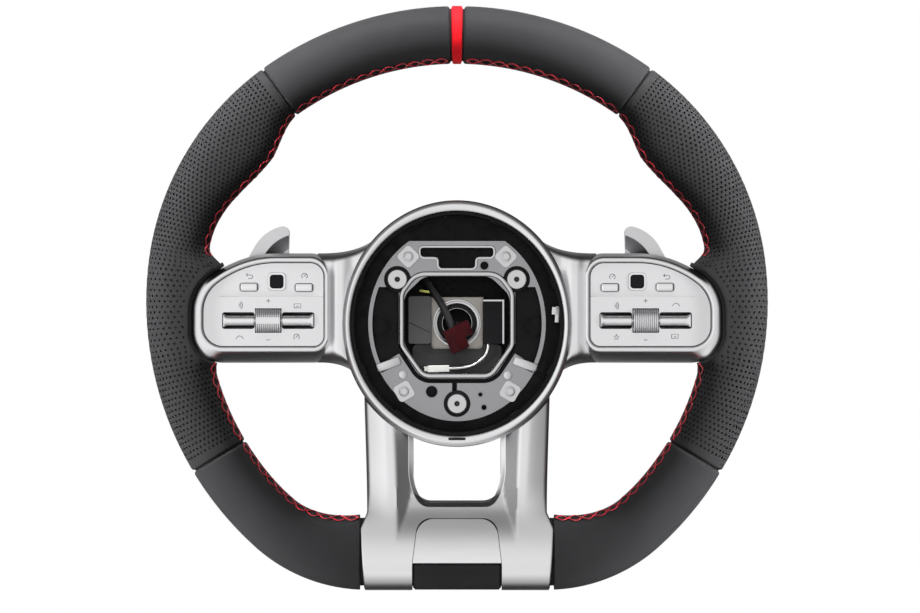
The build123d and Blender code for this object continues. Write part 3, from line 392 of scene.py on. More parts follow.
def pod_outline(out, up, down, inward):
    """Outline of the right switch pod, grown by its own amount on each side."""
    crown_angle = math.atan2(crown_fall, crown_run)
    crown_x = pod_outer - crown_run + up * math.tan(crown_angle / 2)
    shoulder_z = pod_top - crown_fall + out * math.tan(math.pi / 4 - crown_angle / 2)
    return rounded_outline([
        (pod_inner - inward, pod_top + up, 8.7 + min(up, inward)),
        (crown_x, pod_top + up, 58.0 + up),
        (pod_outer + out, shoulder_z, 22.0 + out),
        (pod_outer + out, pod_foot - down, 12.3 + min(out, down)),
        (pod_inner - inward, pod_foot - down, 6.5 + min(down, inward))], 14)


spoke_outline = np.array(pod_outline(6.3, 5.6, 9.7, 2.6))


def spoke_distance(x, z):
    """Distance from the right spoke's outline, negative inside it, and the direction away from it."""
    start = spoke_outline
    run = np.roll(start, -1, axis=0) - start
    place = np.array([x, z])
    share = np.clip(((place - start) * run).sum(1) / np.maximum((run ** 2).sum(1), 1e-9), 0, 1)
    gap = place - start - share[:, None] * run
    length = np.hypot(gap[:, 0], gap[:, 1])
    nearest = int(length.argmin())
    crossing = (start[:, 1] > z) != (start[:, 1] + run[:, 1] > z)
    rise = np.where(np.abs(run[:, 1]) < 1e-9, 1e-9, run[:, 1])
    crossed = crossing & (x < start[:, 0] + (z - start[:, 1]) / rise * run[:, 0])
    sign = -1 if crossed.sum() % 2 else 1
    away = gap[nearest] / max(length[nearest], 1e-6) * sign
    return sign * length[nearest], away


# Grips: the perforated leather at the hands. It is punched with staggered holes before it is sewn,
# and its edge rolls in round the end of the spoke, where it is tucked down beside the trim.
grip_around = 39
hole_radius = 0.00074
hole_depth = 0.0009
hole_margin = 0.00055
plain_angle = 151
seam_clear = 1.5
tuck_start = 2.6
tuck_reach = 9
tuck_clear = 1.6
tuck = ((1.5, 0.985), (0.75, 0.94), (0.45, 0.83), (0.4, 0.3))
# The walls and floors of the punched holes are coloured near black: painted shade inside the holes.
hole_shade = surface("hole_shade", (0.004, 0.004, 0.004), 0.9)


def right_half(point, side):
    """A point in millimetres as it lies on the right half: across, ahead and up."""
    return point.x * side * 1000, -point.y * 1000, point.z * 1000


def at_gap(x, z, wanted):
    """The place moved straight off the spoke's outline until it lies at the gap that is wanted."""
    gap, away = spoke_distance(x, z)
    return x + away[0] * (wanted - gap), z + away[1] * (wanted - gap)


def extrude_rim(bm, edges):
    """New faces from open edges: the new edges and the new vertices, which are still in place."""
    made = bmesh.ops.extrude_edge_only(bm, edges=edges)["geom"]
    return ([item for item in made if isinstance(item, bmesh.types.BMEdge)],
            [item for item in made if isinstance(item, bmesh.types.BMVert)])


for side, hand in hands:
    bm = leather_tube(upper_seam + groove_half, lower_seam - groove_half, grip_around, side, shear=0.5)
    for face in list(bm.faces):
        x, _, z = right_half(face.calc_center_median(), side)
        if spoke_distance(x, z)[0] < tuck_start:
            bm.faces.remove(face)
    loose = [vert for vert in bm.verts if not vert.link_faces]
    bmesh.ops.delete(bm, geom=loose, context="VERTS")
    tuck_edges = []
    for edge in bm.edges:
        x, _, z = right_half((edge.verts[0].co + edge.verts[1].co) / 2, side)
        if edge.is_boundary and spoke_distance(x, z)[0] < tuck_reach:
            tuck_edges.append(edge)
    for vert in {vert for edge in tuck_edges for vert in edge.verts}:
        x, ahead, z = right_half(vert.co, side)
        x, z = at_gap(x, z, tuck_start)
        _, out, half = section_place(x, z)
        rise = rim_half_depth * math.sqrt(max(0.0, 1 - (out / half) ** 2))
        vert.co = place_mm(side * x, rim_ahead + (rise if ahead > rim_ahead else -rise), z)
    grip_cells = []
    for face in bm.faces:
        x, ahead, z = right_half(face.calc_center_median(), side)
        turn, out, half = section_place(x, z)
        angle = math.degrees(math.atan2((ahead - rim_ahead) / rim_half_depth, out / half))
        between_seams = upper_seam + seam_clear < turn < lower_seam - seam_clear
        clear = spoke_distance(x, z)[0] > tuck_start + tuck_clear
        if clear and abs(angle) < plain_angle and between_seams:
            grip_cells.append(face)
    share_before = 1.0
    for gap_after, share in tuck:
        tuck_edges, moved = extrude_rim(bm, tuck_edges)
        for vert in moved:
            x, ahead, z = right_half(vert.co, side)
            x, z = at_gap(x, z, gap_after)
            vert.co = place_mm(side * x, rim_ahead + (ahead - rim_ahead) * share / share_before, z)
        share_before = share
    bmesh.ops.recalc_face_normals(bm, faces=bm.faces)
    bmesh.ops.inset_individual(bm, faces=grip_cells, thickness=hole_margin)
    hole_edges = list({edge for face in grip_cells for edge in face.edges})
    bmesh.ops.subdivide_edges(bm, edges=hole_edges, cuts=1)
    for face in grip_cells:
        face.normal_update()
        centre = face.calc_center_median()
        for vert in face.verts:
            outwards = vert.co - centre
            outwards -= outwards.dot(face.normal) * face.normal
            vert.co = centre + outwards.normalized() * hole_radius
    for face in bmesh.ops.extrude_discrete_faces(bm, faces=grip_cells)["faces"]:
        for vert in face.verts:
            vert.co -= hole_depth * face.normal
        # Painted shade on the hole's floor and walls.
        face.material_index = 1
        for edge in face.edges:
            for wall in edge.link_faces:
                wall.material_index = 1
    hide = make_piece(bm, f"grip_hide_{hand}", [grip_leather, hole_shade],
                      [f"grip_leather_{hand}"], sharp=50)


# Seam thread: red waxed thread that laces the leather together along the rim's inner edge, in long
# crossed stitches between two rows of holes.
stitch_length = 8.0
stitch_radius = 0.00040
stitch_middle = 1.6
stitch_end = 0.0588
strands = ((1.2, 0.40), (-1.2, 0.15))
sewn_runs = ((1.9, 35.6, 0.0), (36.4, 79.4, 0.0), (103.2, 120.7, 0.0), (121.3, 178.0, stitch_end))
red_thread = surface("red_thread", (0.42, 0.006, 0.019), 0.55)
red_thread.node_tree.nodes["Principled BSDF"].inputs["Sheen Weight"].default_value = 0.3
add_grain(red_thread, 2600, 0.00006, colours=((0.32, 0.004, 0.012), (0.52, 0.009, 0.026)))


def sewn_point(turn, inwards, lift, side):
    """Place on the rim at a distance in millimetres from its inner edge, towards the driver."""
    half = inner_reach(turn)
    return rim_point(turn, 180 - math.degrees(math.acos((half - inwards) / half)), lift, side)


def round_line(name, lines, radius, resolution=0, caps=False, kind="POLY"):
    """A curve object of round strands along lines of points."""
    strand = bpy.data.curves.new(name, "CURVE")
    strand.dimensions = "3D"
    strand.bevel_depth = radius
    strand.bevel_resolution = resolution
    strand.use_fill_caps = caps
    for line in lines:
        spline = strand.splines.new(kind)
        spline.points.add(len(line) - 1)
        for point, place in zip(spline.points, line):
            point.co = (*place, 1)
    return bpy.data.objects.new(name, strand)


def strand_mesh(holder):
    """The mesh of a curve object, which it takes the place of."""
    bm = bmesh.new()
    bm.from_mesh(bpy.data.meshes.new_from_object(holder))
    bpy.data.objects.remove(holder)
    return bm


stitch_lines = []
for side, _ in hands:
    for first, last, least_x in sewn_runs:
        turns = np.arange(first, last, 0.25)
        edge_line = np.array([sewn_point(turn, stitch_middle, 0, 1)[:] for turn in turns])
        kept = edge_line[:, 0] > least_x
        lengths = run_along(edge_line[kept]) * 1000
        for swing, lift in strands:
            sway = stitch_middle + swing * np.sin(math.pi * lengths / stitch_length)
            stitch_lines.append([sewn_point(turn, inwards, lift, side)
                                 for turn, inwards in zip(turns[kept], sway)])
bm = strand_mesh(round_line("seam_stitches", stitch_lines, stitch_radius, resolution=1, caps=True))
make_piece(bm, "seam_stitches", [red_thread], ["seam_thread"], sharp=80)


# Armature and foam: the magnesium casting that carries everything, painted black outside the boss
# machined round the column bore as painted shade for the depth of the hub, and the black foam
# moulded round its ring. Both stay as they are.
def dress(finish, *nodes):
    """Gives CAD pieces their finish."""
    for node in nodes:
        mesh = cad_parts[node].data
        mesh.materials.clear()
        mesh.materials.append(finish)


boss_half = 0.0159
painted_shade_black = (0.008, 0.008, 0.008, 1)
cast_metal = surface("cast_magnesium", (0.36, 0.34, 0.31), 0.42, metallic=1.0)
add_grain(cast_metal, 420, 0.00012, colours=((0.27, 0.25, 0.23), (0.44, 0.42, 0.39)),
          rough=(0.34, 0.55))
black_foam = surface("black_foam", (0.012, 0.012, 0.012), 0.85)
add_grain(black_foam, 900, 0.00015)
cast = cast_metal.node_tree
cast_place = add_node(cast, "TexCoord").outputs["Object"]
cast_axes = add_node(cast, "SeparateXYZ", [(0, cast_place)]).outputs
away = [add_node(cast, "Math", [(0, cast_axes[axis])], operation="ABSOLUTE").outputs[0]
        for axis in ("X", "Z")]
farther = add_node(cast, "Math", enumerate(away), operation="MAXIMUM")
# Painted shade: outside the machined boss the casting is coloured black, for the dark depth of the hub.
shaded_outside_boss = add_node(cast, "Math", [(0, farther.outputs[0]), (1, boss_half)], operation="GREATER_THAN")
cast_colour = cast.nodes["Principled BSDF"].inputs["Base Color"]
bare_metal = cast_colour.links[0].from_socket
shade_mix = add_node(cast, "Mix", [(0, shaded_outside_boss.outputs[0]), (6, bare_metal), (7, painted_shade_black)],
                data_type="RGBA")
cast.links.new(shade_mix.outputs[2], cast_colour)
dress(cast_metal, "armature")
dress(black_foam, "rim_foam")


# Hub ring: an oval plastic moulding, plated satin silver, clipped round the mouth of the hub. Its
# outer edge is a bright bevel, and its inner band slopes down to the black liner.
ring_half_width, ring_half_height = 68.7, 73.8
ring_stations = (
    (68.6, 73.7, 56.0), (68.7, 73.8, 56.4), (68.7, 73.8, 63.2), (68.5, 73.6, 63.9), (68.0, 73.1, 64.5),
    (66.9, 71.9, 65.5), (66.5, 71.4, 65.8), (66.1, 70.9, 65.95), (65.6, 70.2, 65.95),
    (64.6, 68.6, 65.7), (64.1, 67.7, 65.4), (63.9, 67.4, 64.8), (63.9, 67.4, 56.0))


def skin_loops(bm, loops, closed=False):
    """Faces between closed outlines that follow one another, added to a mesh."""
    rows = list(loops) + (list(loops[:1]) if closed else [])
    count = len(rows[0])
    made = grid_points(bm, count, len(rows) - 1)
    for vert, column, row in made:
        vert.co = rows[row][column % count]
    bmesh.ops.remove_doubles(bm, verts=[vert for vert, _, _ in made], dist=1e-7)


def ellipse_loop(half_width, half_height, ahead, count=128, centre=(0, 0)):
    """Points of an ellipse across the column, in millimetres."""
    turns = [2 * math.pi * k / count for k in range(count)]
    return [place_mm(centre[0] + half_width * math.cos(t), ahead, centre[1] + half_height * math.sin(t))
            for t in turns]


satin_silver = surface("satin_silver", (0.80, 0.80, 0.81), 0.33, metallic=1.0)
add_grain(satin_silver, 30, 0, colours=((0.77, 0.77, 0.78), (0.82, 0.82, 0.83)), rough=(0.31, 0.36))

bm = bmesh.new()
skin_loops(bm, [ellipse_loop(*station) for station in ring_stations], closed=True)
make_piece(bm, "oval_ring", [satin_silver], ["hub_ring"], sharp=60)


# Side spokes: one moulding each, plated satin silver. A bright bezel frames the switches, steep
# flanks fall away behind it, and a hollow neck runs from the bezel to the oval ring. A black cover
# closes each spoke from behind, as do the covers of the hub and the lower spoke.
flank_back = 46.0
bezel_inward = 2.4
outer_blend = (134, 152)
bezel = ((0.0, 61.6, 61.6), (0.0, 65.0, 65.0), (0.25, 65.6, 65.6), (0.8, 65.95, 65.95),
         (1.7, 66.0, 66.0), (2.5, 65.7, 65.9), (3.0, 65.0, 65.9))
flank = ((0.16, 63.3, 65.85), (0.34, 60.6, 65.75), (0.55, 56.8, 65.65), (0.78, 52.0, 65.4),
         (1.0, 46.2, 64.6))
flank_grow = (3.3, 2.6, 6.7)
neck_columns, neck_rows = 28, 40
neck_foot = ((55.6, -46.6), (57.6, -33.0), (65.5, -23.7), (84.0, -23.7))
neck_head = ((47.0, 53.9), (55.5, 46.0), (65.5, 42.3), (84.0, 42.3))
neck_face = 60.4
neck_overlap = 0.7


def flat_loop(outline, ahead, side=1):
    """A front-view outline in millimetres as points at one distance ahead."""
    return [place_mm(side * x, ahead, z) for x, z in outline]


def bezier(points, share):
    p0, p1, p2, p3 = (np.array(point, float) for point in points)
    rest = 1 - share
    return rest ** 3 * p0 + 3 * rest ** 2 * share * p1 + 3 * rest * share ** 2 * p2 + share ** 3 * p3


def neck_place(along, up):
    """Front view of the neck: along from the ring (0) to the pod (1), up from its foot to its head."""
    start, end = (math.atan2(line[0][1] / ring_half_height, line[0][0] / ring_half_width)
                  for line in (neck_foot, neck_head))
    turned = start + (end - start) * up
    ring_edge = np.array([(ring_half_width - neck_overlap) * math.cos(turned),
                          (ring_half_height - neck_overlap) * math.sin(turned)])
    foot_start, foot_end, head_start, head_end = (
        np.array(point) for point in (neck_foot[0], neck_foot[3], neck_head[0], neck_head[3]))
    pod_edge = (1 - up) * foot_end + up * head_end
    flat = (1 - along) * ((1 - up) * foot_start + up * head_start) + along * pod_edge
    across = (1 - along) * ring_edge + along * pod_edge
    return across + (1 - up) * bezier(neck_foot, along) + up * bezier(neck_head, along) - flat


def edge_fall(gap, reach, power=2.0):
    """Share of a fall that is left at a gap from an edge: all at the edge, none past its reach."""
    return (1 - min(1, gap / reach)) ** power


for side, hand in hands:
    stations = [(pod_outline(grow, grow, grow, min(grow, bezel_inward)), *depths)
                for grow, *depths in bezel]
    for share, *depths in flank:
        grown = [bezel[-1][0] + grow * share for grow in flank_grow]
        stations.append((pod_outline(*grown, bezel_inward), *depths))
    loops = [[place_mm(side * x, ahead + (outer_ahead - ahead) * smooth_step(x, *outer_blend), z)
              for x, z in outline] for outline, ahead, outer_ahead in stations]
    loops.append(flat_loop(stations[-1][0], flank_back, side))
    loops.append(flat_loop(pod_outline(0, 0, 0, 0), flank_back, side))
    bm = bmesh.new()
    skin_loops(bm, loops, closed=True)
    for vert, column, row in grid_points(bm, neck_columns, neck_rows):
        along = column / neck_columns
        x, z = neck_place(along, row / neck_rows)
        below, above = z - neck_place(along, 0)[1], neck_place(along, 1)[1] - z
        face = neck_face - 1.8 * (1 - smooth_step(x, 62, 69)) - 1.3 * smooth_step(x, 72, 77)
        face -= 2.6 * edge_fall(above, 17) + 1.6 * edge_fall(below, 12)
        drop = (face - flank_back) * (edge_fall(below, 8.6, 2.2) + edge_fall(above, 5.2, 2.2))
        vert.co = place_mm(side * x, face - drop, z)
    make_piece(bm, f"side_spoke_{hand}", [satin_silver], [f"spoke_trim_{hand}"],
               sharp=55)

black_plastic = surface("black_plastic", (0.022, 0.022, 0.023), 0.45, specular=0.25)
add_grain(black_plastic, 1400, 0.00006, rough=(0.4, 0.55))
dress(black_plastic, "spoke_back_left", "spoke_back_right", "rear_cover", "lower_back",
      "paddle_brackets")


# Switch panels: silver painted face plates set in the bezels, with a thin black strip round each that
# paints the shade in the gap. Above a crease across the plate the face leans in a little; small dark
# signs are printed beside the switches. Closed black housings sit behind.
panel_front = 64.0
crease_height = 16.4
crease_run = 3.6
crease_depth = 0.0007
sign_stroke = 0.00022
sign_sink = 0.03
gap_shade_stations = ((-0.62, 63.6), (-0.58, 64.06), (-0.04, 64.06), (-0.02, 63.6))
panel_paint = surface("panel_paint", (0.74, 0.74, 0.75), 0.40, metallic=0.9)
add_grain(panel_paint, 2500, 0.000006, colours=((0.72, 0.72, 0.73), (0.76, 0.76, 0.77)))
print_ink = surface("print_ink", (0.06, 0.06, 0.065), 0.6)
gap_shade_black = surface("gap_shade_black", (0.006, 0.006, 0.006), 0.7)


def arc_stroke(x, z, radius, start, end):
    """An arc as a stroke, in degrees from the right, anticlockwise."""
    count = max(4, int(abs(end - start) / 24))
    turns = [math.radians(start + (end - start) * k / count) for k in range(count + 1)]
    return [(x + radius * math.cos(t), z + radius * math.sin(t)) for t in turns]


arrow = [[(-1.9, 0.8), (0.9, 0.8)], arc_stroke(0.9, -0.3, 1.1, 90, -90), [(0.9, -1.4), (-0.8, -1.4)],
         [(-1.0, 1.7), (-1.9, 0.8), (-1.0, -0.1)]]
dial = [arc_stroke(0, 0, 1.7, -50, 230), [(0, 0), (0.9, 1.0)], [(-0.5, 0), (0.2, 0)]]
waves = [arc_stroke(-1.6, 0, radius, -50, 50) for radius in (1.0, 2.0, 3.0)]
handset = [arc_stroke(0, -1.2, 2.0, 35, 145), [(-1.6, -0.1), (-2.2, -0.9)], [(1.6, -0.1), (2.2, -0.9)]]
star = [[arc_stroke(0, 0, (1.8, 0.75)[k % 2], 90 + 36 * k, 90 + 36 * k)[0] for k in range(11)]]
minus = [[(-1.2, 0), (1.2, 0)]]
plus = minus + [[(0, -1.2), (0, 1.2)]]
gauge = [[(-2.0, -1.2), (-2.0, 1.2), (2.0, 1.2), (2.0, -1.2), (-2.0, -1.2)],
         [(-0.8, -0.3), (0.9, -0.3)]]
signs = {
    "left": ((arrow, -124.2, 28.3), (dial, -91.2, 28.4), (waves, -129.6, 11.0), (plus, -112.9, 13.6),
             (gauge, -95.4, 10.6), (handset, -130.0, -8.2), (minus, -112.9, -9.8), (dial, -96.0, -8.0)),
    "right": ((dial, 93.0, 28.0), (arrow, 125.4, 28.0), (waves, 95.4, 10.6), (plus, 112.9, 13.6),
              (handset, 131.0, 11.4), (star, 95.4, -8.2), (minus, 112.9, -9.8), (gauge, 130.4, -7.6))}

for side, hand in hands:
    bm = bmesh.new()
    plain_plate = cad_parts[f"switch_panel_{hand}"].data.copy()
    if "custom_normal" in plain_plate.attributes:
        plain_plate.attributes.remove(plain_plate.attributes["custom_normal"])
    bm.from_mesh(plain_plate)
    weld(bm, 1e-6)
    for rise in (-0.25, 0.0, 1.6, crease_run):
        bmesh.ops.bisect_plane(bm, geom=[*bm.verts, *bm.edges, *bm.faces], dist=1e-6,
                               plane_co=(0, 0, (crease_height + rise) / 1000), plane_no=(0, 0, 1))
    for vert in bm.verts:
        x, ahead, z = right_half(vert.co, side)
        rise = z - crease_height
        inside = smooth_step(x, 80, 84) * (1 - smooth_step(x, 130, 138))
        if -0.05 < rise < crease_run - 0.1 and ahead > panel_front - 0.1:
            vert.co.y += crease_depth * inside * (1 - rise / crease_run) ** 1.5
    make_piece(bm, f"face_plate_{hand}", [panel_paint], [f"switch_panel_{hand}"],
               sharp=18)
    # Painted shade: a thin black strip round the plate, where the gap to the bezel falls dark.
    bm = bmesh.new()
    skin_loops(bm, [flat_loop(pod_outline(grow, grow, grow, grow), ahead, side)
                    for grow, ahead in gap_shade_stations])
    make_piece(bm, f"panel_gap_shade_{hand}", [gap_shade_black])
    strokes = [[place_mm(x + right, panel_front - sign_sink, z + up) for right, up in stroke]
               for shape, x, z in signs[hand] for stroke in shape]
    bm = strand_mesh(round_line(f"signs_{hand}", strokes, sign_stroke))
    make_piece(bm, f"printed_signs_{hand}", [print_ink])
dress(black_plastic, "switch_housing_left", "switch_housing_right")


# Switches: chromed plastic keys, rocker bars and knurled rollers that stand through the face plates,
# each moving on its own, and gloss black finger pads in bright frames.
key_size, key_back = (10.4, 4.4), 60.0
rocker_size, rocker_back = (18.6, 8.4), 60.4
rocker_spread = (6.3, 8.9)
switch_row = 1.8
roller_place, axle_ahead, roller_half = 112.9, 60.4, 7.5
rib_count, rib_steps, roller_rows = 12, 4, 72
rib_radius, groove_radius, end_radius = 7.75, 7.0, 7.1
flat_turn = 0.30
bright_chrome = surface("bright_chrome", (0.80, 0.80, 0.81), 0.17, metallic=1.0)
add_grain(bright_chrome, 60, 0, rough=(0.14, 0.22))
gloss_black = surface("gloss_black", (0.004, 0.004, 0.005), 0.14, specular=0.1)
dress(gloss_black, "touch_pad_left", "touch_pad_right")
dress(bright_chrome, "pad_frames", "roller_axle_left", "roller_axle_right")


def fill_open(bm):
    """Closes the openings of a mesh."""
    bmesh.ops.holes_fill(bm, edges=[edge for edge in bm.edges if edge.is_boundary], sides=0)


def close_back(bm, ahead):
    """Straight sides from the open edge of a mesh to a flat back."""
    for vert in extrude_rim(bm, [edge for edge in bm.edges if edge.is_boundary])[1]:
        vert.co.y = -ahead / 1000
    fill_open(bm)


def relief_key(centre, size, columns, rows, front_at, back):
    """A key as a shaped top with straight sides, closed at the back."""
    bm = bmesh.new()
    for vert, column, row in grid_points(bm, columns, rows):
        along, up = (column / columns - 0.5) * size[0], (row / rows - 0.5) * size[1]
        vert.co = place_mm(centre[0] + along, front_at(along, up), centre[1] + up)
    close_back(bm, back)
    return bm


def button_front(along, up):
    """Crown of a small key, rounded at its ends."""
    return 65.05 - 0.55 * (up / 2.3) ** 2 - 0.5 * max(0.0, (abs(along) - 4.4) / 0.9) ** 2


def rocker_front(along, up):
    """A half-round bar between two channels, painted black as shade; at its outer end it spreads into a
    square cap.
    """
    spread = smooth_step(along, *rocker_spread)
    half = 3.2 + 0.7 * spread
    if abs(up) < half:
        return 65.7 - (2.2 - 1.2 * spread) * (up / half) ** 2 - 0.8 * smooth_step(along, 8.9, 9.4)
    return 62.6 + 0.6 * smooth_step(abs(up), 3.6, 4.1) * (1 - spread)


for side, hand in hands:
    for kind, x, z in (("outer", 124.4, 21.8), ("inner", 91.5, 21.5)):
        bm = relief_key((side * x, z), key_size, 24, 16, button_front, key_back)
        make_piece(bm, f"key_{kind}_{hand}", [bright_chrome],
                   [f"button_{kind}_{hand}"], sharp=40, body=f"button_{kind}_{hand}")
    for kind, place, facing in (("outer", 130.8, side), ("inner", 95.0, -side)):
        bm = relief_key((side * place, switch_row), rocker_size, 40, 42,
                        lambda along, up: rocker_front(along * facing, up), rocker_back)
        # The channels beside the bar take the gloss black: painted shade in the recesses.
        for face in bm.faces:
            middle = face.calc_center_median() * 1000
            along, up = (middle.x - side * place) * facing, abs(middle.z - switch_row)
            if up > 3.25 + 0.7 * smooth_step(along, *rocker_spread):
                face.material_index = 1
        make_piece(bm, f"rocker_bar_{kind}_{hand}", [bright_chrome, gloss_black],
                   [f"rocker_{kind}_{hand}"], sharp=30, body=f"rocker_{kind}_{hand}")
    bm = bmesh.new()
    last_column = rib_count * rib_steps
    for vert, column, row in grid_points(bm, last_column, roller_rows):
        turned = math.pi * (2 * row / roller_rows - 1)
        flat = hand == "left" and abs(turned) < flat_turn
        radius = rib_radius if flat or column % rib_steps else groove_radius
        if column in (0, last_column):
            radius = end_radius
        x = side * roller_place + roller_half * (2 * column / last_column - 1)
        vert.co = place_mm(x, axle_ahead + radius * math.cos(turned),
                           switch_row + radius * math.sin(turned))
    weld(bm)
    fill_open(bm)
    make_piece(bm, f"knurled_roller_{hand}", [satin_silver], [f"roller_{hand}"],
               sharp=25, body=f"roller_{hand}")


# Lower spoke: one silver moulding with two ridged legs that grow out of the ring, a window between
# them with a chamfered lip, and clamps that wrap round the flat bottom of the rim. It is plated like
# the ring and sits on the casting.
clamp_half = 57.87
clamp_wrap = 0.2
leg_split = 51.2
leg_top_half = 55
ring_under = (69.2, 74.3)
rim_foot_middle = rim_bottom + rim_half_width
ridge_span, ridge_outer, ridge_inner = (61, 122), (43.4, 40.4), (37.8, 35.6)
straight_rows, round_rows = 64, 18


def leg_edge(z):
    """Half-width of the lower spoke at a height."""
    return float(np.interp(-z, (40, 113, 122.5, 160), (55.9, 53.8, clamp_half, 55.5)))


def leg_front(z):
    """Distance ahead of the legs' ridge: it dips below the hub and swells out over the rim."""
    knots = ((40.0, 60.0, 0.0), (111.7, 63.0, 0.377), (-rim_foot_middle, 73.7, 0.0))
    start, end = knots[:2] if -z < knots[1][0] else knots[1:]
    span = end[0] - start[0]
    rises = (start[1], start[1] + span * start[2] / 3, end[1] - span * end[2] / 3, end[1])
    return float(bezier(rises, min(1.0, max(0.0, (-z - start[0]) / span))))


def leg_drop(x, z):
    """How far the moulding falls away from the ridge line, outwards and towards the window."""
    outer = float(np.interp(-z, ridge_span, ridge_outer))
    inner = float(np.interp(-z, ridge_span, ridge_inner))
    away = abs(x)
    drop = 0.0
    if away > outer:
        drop = 4.2 * (1 - smooth_step(-z, 92, 120)) * ((away - outer) / (leg_edge(z) - outer)) ** 1.25
    elif away < inner:
        fade = 1 - smooth_step(-z, 112, 144)
        bridge = max(0.0, 6.6 - 0.19 * max(0.0, -z - 101)) * (1 - smooth_step(-z, 110, 134))
        drop = min(0.74 * (inner - away) * (0.25 + 0.75 * fade), bridge)
    edge_round = 2.4 - 1.4 * smooth_step(-z, 100, 118)
    edge = leg_edge(z) - away
    if edge < edge_round:
        drop += edge_round - math.sqrt(max(0.0, edge_round ** 2 - (edge_round - edge) ** 2))
    return drop


edge_shares = (0.945, 0.957, 0.968, 0.978, 0.987, 0.994, 1.0)
right_across = np.concatenate([np.linspace(0, 0.93, 44), edge_shares])
leg_across = np.concatenate([-right_across[:0:-1], right_across])
bm = bmesh.new()
for vert, column, row in grid_points(bm, len(leg_across) - 1, straight_rows + round_rows):
    u = leg_across[column]
    down = straight_rows + round_rows - row
    if down <= straight_rows:
        top = -ring_under[1] * math.sqrt(1 - (u * leg_top_half / ring_under[0]) ** 2)
        z = top + (rim_foot_middle - top) * down / straight_rows
        x = u * leg_edge(z)
        vert.co = place_mm(x, leg_front(z) - leg_drop(x, z), z)
    else:
        turned = math.radians(90 * (down - straight_rows) / round_rows)
        z = rim_foot_middle - (rim_half_width + clamp_wrap) * math.sin(turned)
        x = u * leg_edge(z)
        shrink = leg_drop(x, z)
        ahead = rim_ahead + (rim_half_depth + clamp_wrap - shrink) * math.cos(turned)
        vert.co = place_mm(x, ahead, z + shrink * math.sin(turned))
close_back(bm, leg_split)
bmesh.ops.triangulate(bm, faces=[face for face in bm.faces if len(face.verts) > 4])


def prism_cutter(outline, name):
    """A straight cutter along the column from a front-view outline in millimetres."""
    cutter = bmesh.new()
    skin_loops(cutter, [flat_loop(outline, ahead) for ahead in (40, 90)])
    fill_open(cutter)
    bmesh.ops.recalc_face_normals(cutter, faces=cutter.faces)
    return mesh_object(cutter, name)


def cut_out(bm, cutters):
    """The mesh with the cutters taken out of it."""
    bmesh.ops.recalc_face_normals(bm, faces=bm.faces)
    uncut = mesh_object(bm, "uncut")
    for cutter in cutters:
        modifier = uncut.modifiers.new(cutter.name, "BOOLEAN")
        modifier.object = cutter
        modifier.operation = "DIFFERENCE"
        modifier.solver = "EXACT"
    result = bmesh.new()
    result.from_object(uncut, bpy.context.evaluated_depsgraph_get())
    for spent in (uncut, *cutters):
        bpy.data.objects.remove(spent)
    return result


window_half, window_low, window_top = 26.5, -107.7, -66
corner_x, corner_z = 9.5, 21.0
lip_round = 2.8
lip_stations = ((lip_round, 0.0), (2.55, 0.12), (2.35, 0.35), (2.2, 0.65), (1.3, 2.6), (0.4, 4.4),
                (0.1, 4.8), (0.0, 5.0))
lip_backs = (0.0, lip_round)
half_line = [(window_half, z) for z in np.linspace(window_top, window_low + corner_z, 14)]
half_line += [(window_half - corner_x * (1 - math.cos(t)), window_low + corner_z * (1 - math.sin(t)))
              for t in np.linspace(0, math.pi / 2, 24)[1:]]
half_line += [(x, window_low) for x in np.linspace(window_half - corner_x, 0, 10)[1:]]
lip_line = np.array(half_line + [(-x, z) for x, z in half_line[-2::-1]])
run = np.gradient(lip_line, axis=0)
run /= np.hypot(run[:, 0], run[:, 1])[:, None]
lip_out = np.stack([-run[:, 1], run[:, 0]], axis=1)
cut_line = lip_line + lip_round * lip_out
cut_half = window_half + lip_round
plate_edge = rounded_outline([
    (-23.6, -116.6, 9), (23.6, -116.6, 9), (26.8, -142.9, 60), (26.8, -175, 1), (-26.8, -175, 1),
    (-26.8, -142.9, 60)], 12)
bm = cut_out(bm, [prism_cutter([*cut_line, (-cut_half, -20), (cut_half, -20)], "window"),
                  prism_cutter(plate_edge, "plate_seat")])
weld(bm)
make_piece(bm, "lower_spoke", [satin_silver], ["lower_trim"], sharp=32)

bm = bmesh.new()
for vert, point, station in grid_points(bm, len(lip_line) - 1, len(lip_stations) + len(lip_backs) - 1):
    edge_x, edge_z = cut_line[point]
    ahead = leg_front(edge_z) - leg_drop(edge_x, edge_z)
    if station < len(lip_stations):
        gap, sink = lip_stations[station]
        ahead -= sink * min(1.0, (ahead - leg_split - 0.2) / lip_stations[-1][1])
    else:
        gap, ahead = lip_backs[station - len(lip_stations)], leg_split
    x, z = lip_line[point] + gap * lip_out[point]
    vert.co = place_mm(x, ahead, z)
make_piece(bm, "window_lip", [satin_silver], sharp=40)


# Foot of the rim: a bare brushed steel plate set into the lower spoke, with softened edges, and under
# it a short piece of the rim's leather, rolled in along its edges between the clamps.
plate_top, plate_low = -117.0, -142.5
plate_corner, plate_gap = 9, 0.35
plate_columns, plate_rows = 36, 30
hide_half, hide_length, hide_sweep = 26.4, 44, 124
hide_columns, hide_rows = 40, 36
roll_width, roll_drop = 1.6, 1.4
brushed = surface("brushed_plate", (0.92, 0.92, 0.93), 0.42, metallic=1.0)
add_grain(brushed, 900, 0.000008, rough=(0.45, 0.52), stretch=(0.06, 1, 1))


def plate_half(z):
    """Half-width of the bare plate at a height, with its rounded top corners."""
    half = float(np.interp(-z, (116.6, 142.9), (23.6, 26.8))) - plate_gap
    corner = max(0.0, z - (plate_top - plate_corner))
    return half - plate_corner + math.sqrt(max(0.0, plate_corner ** 2 - corner ** 2))


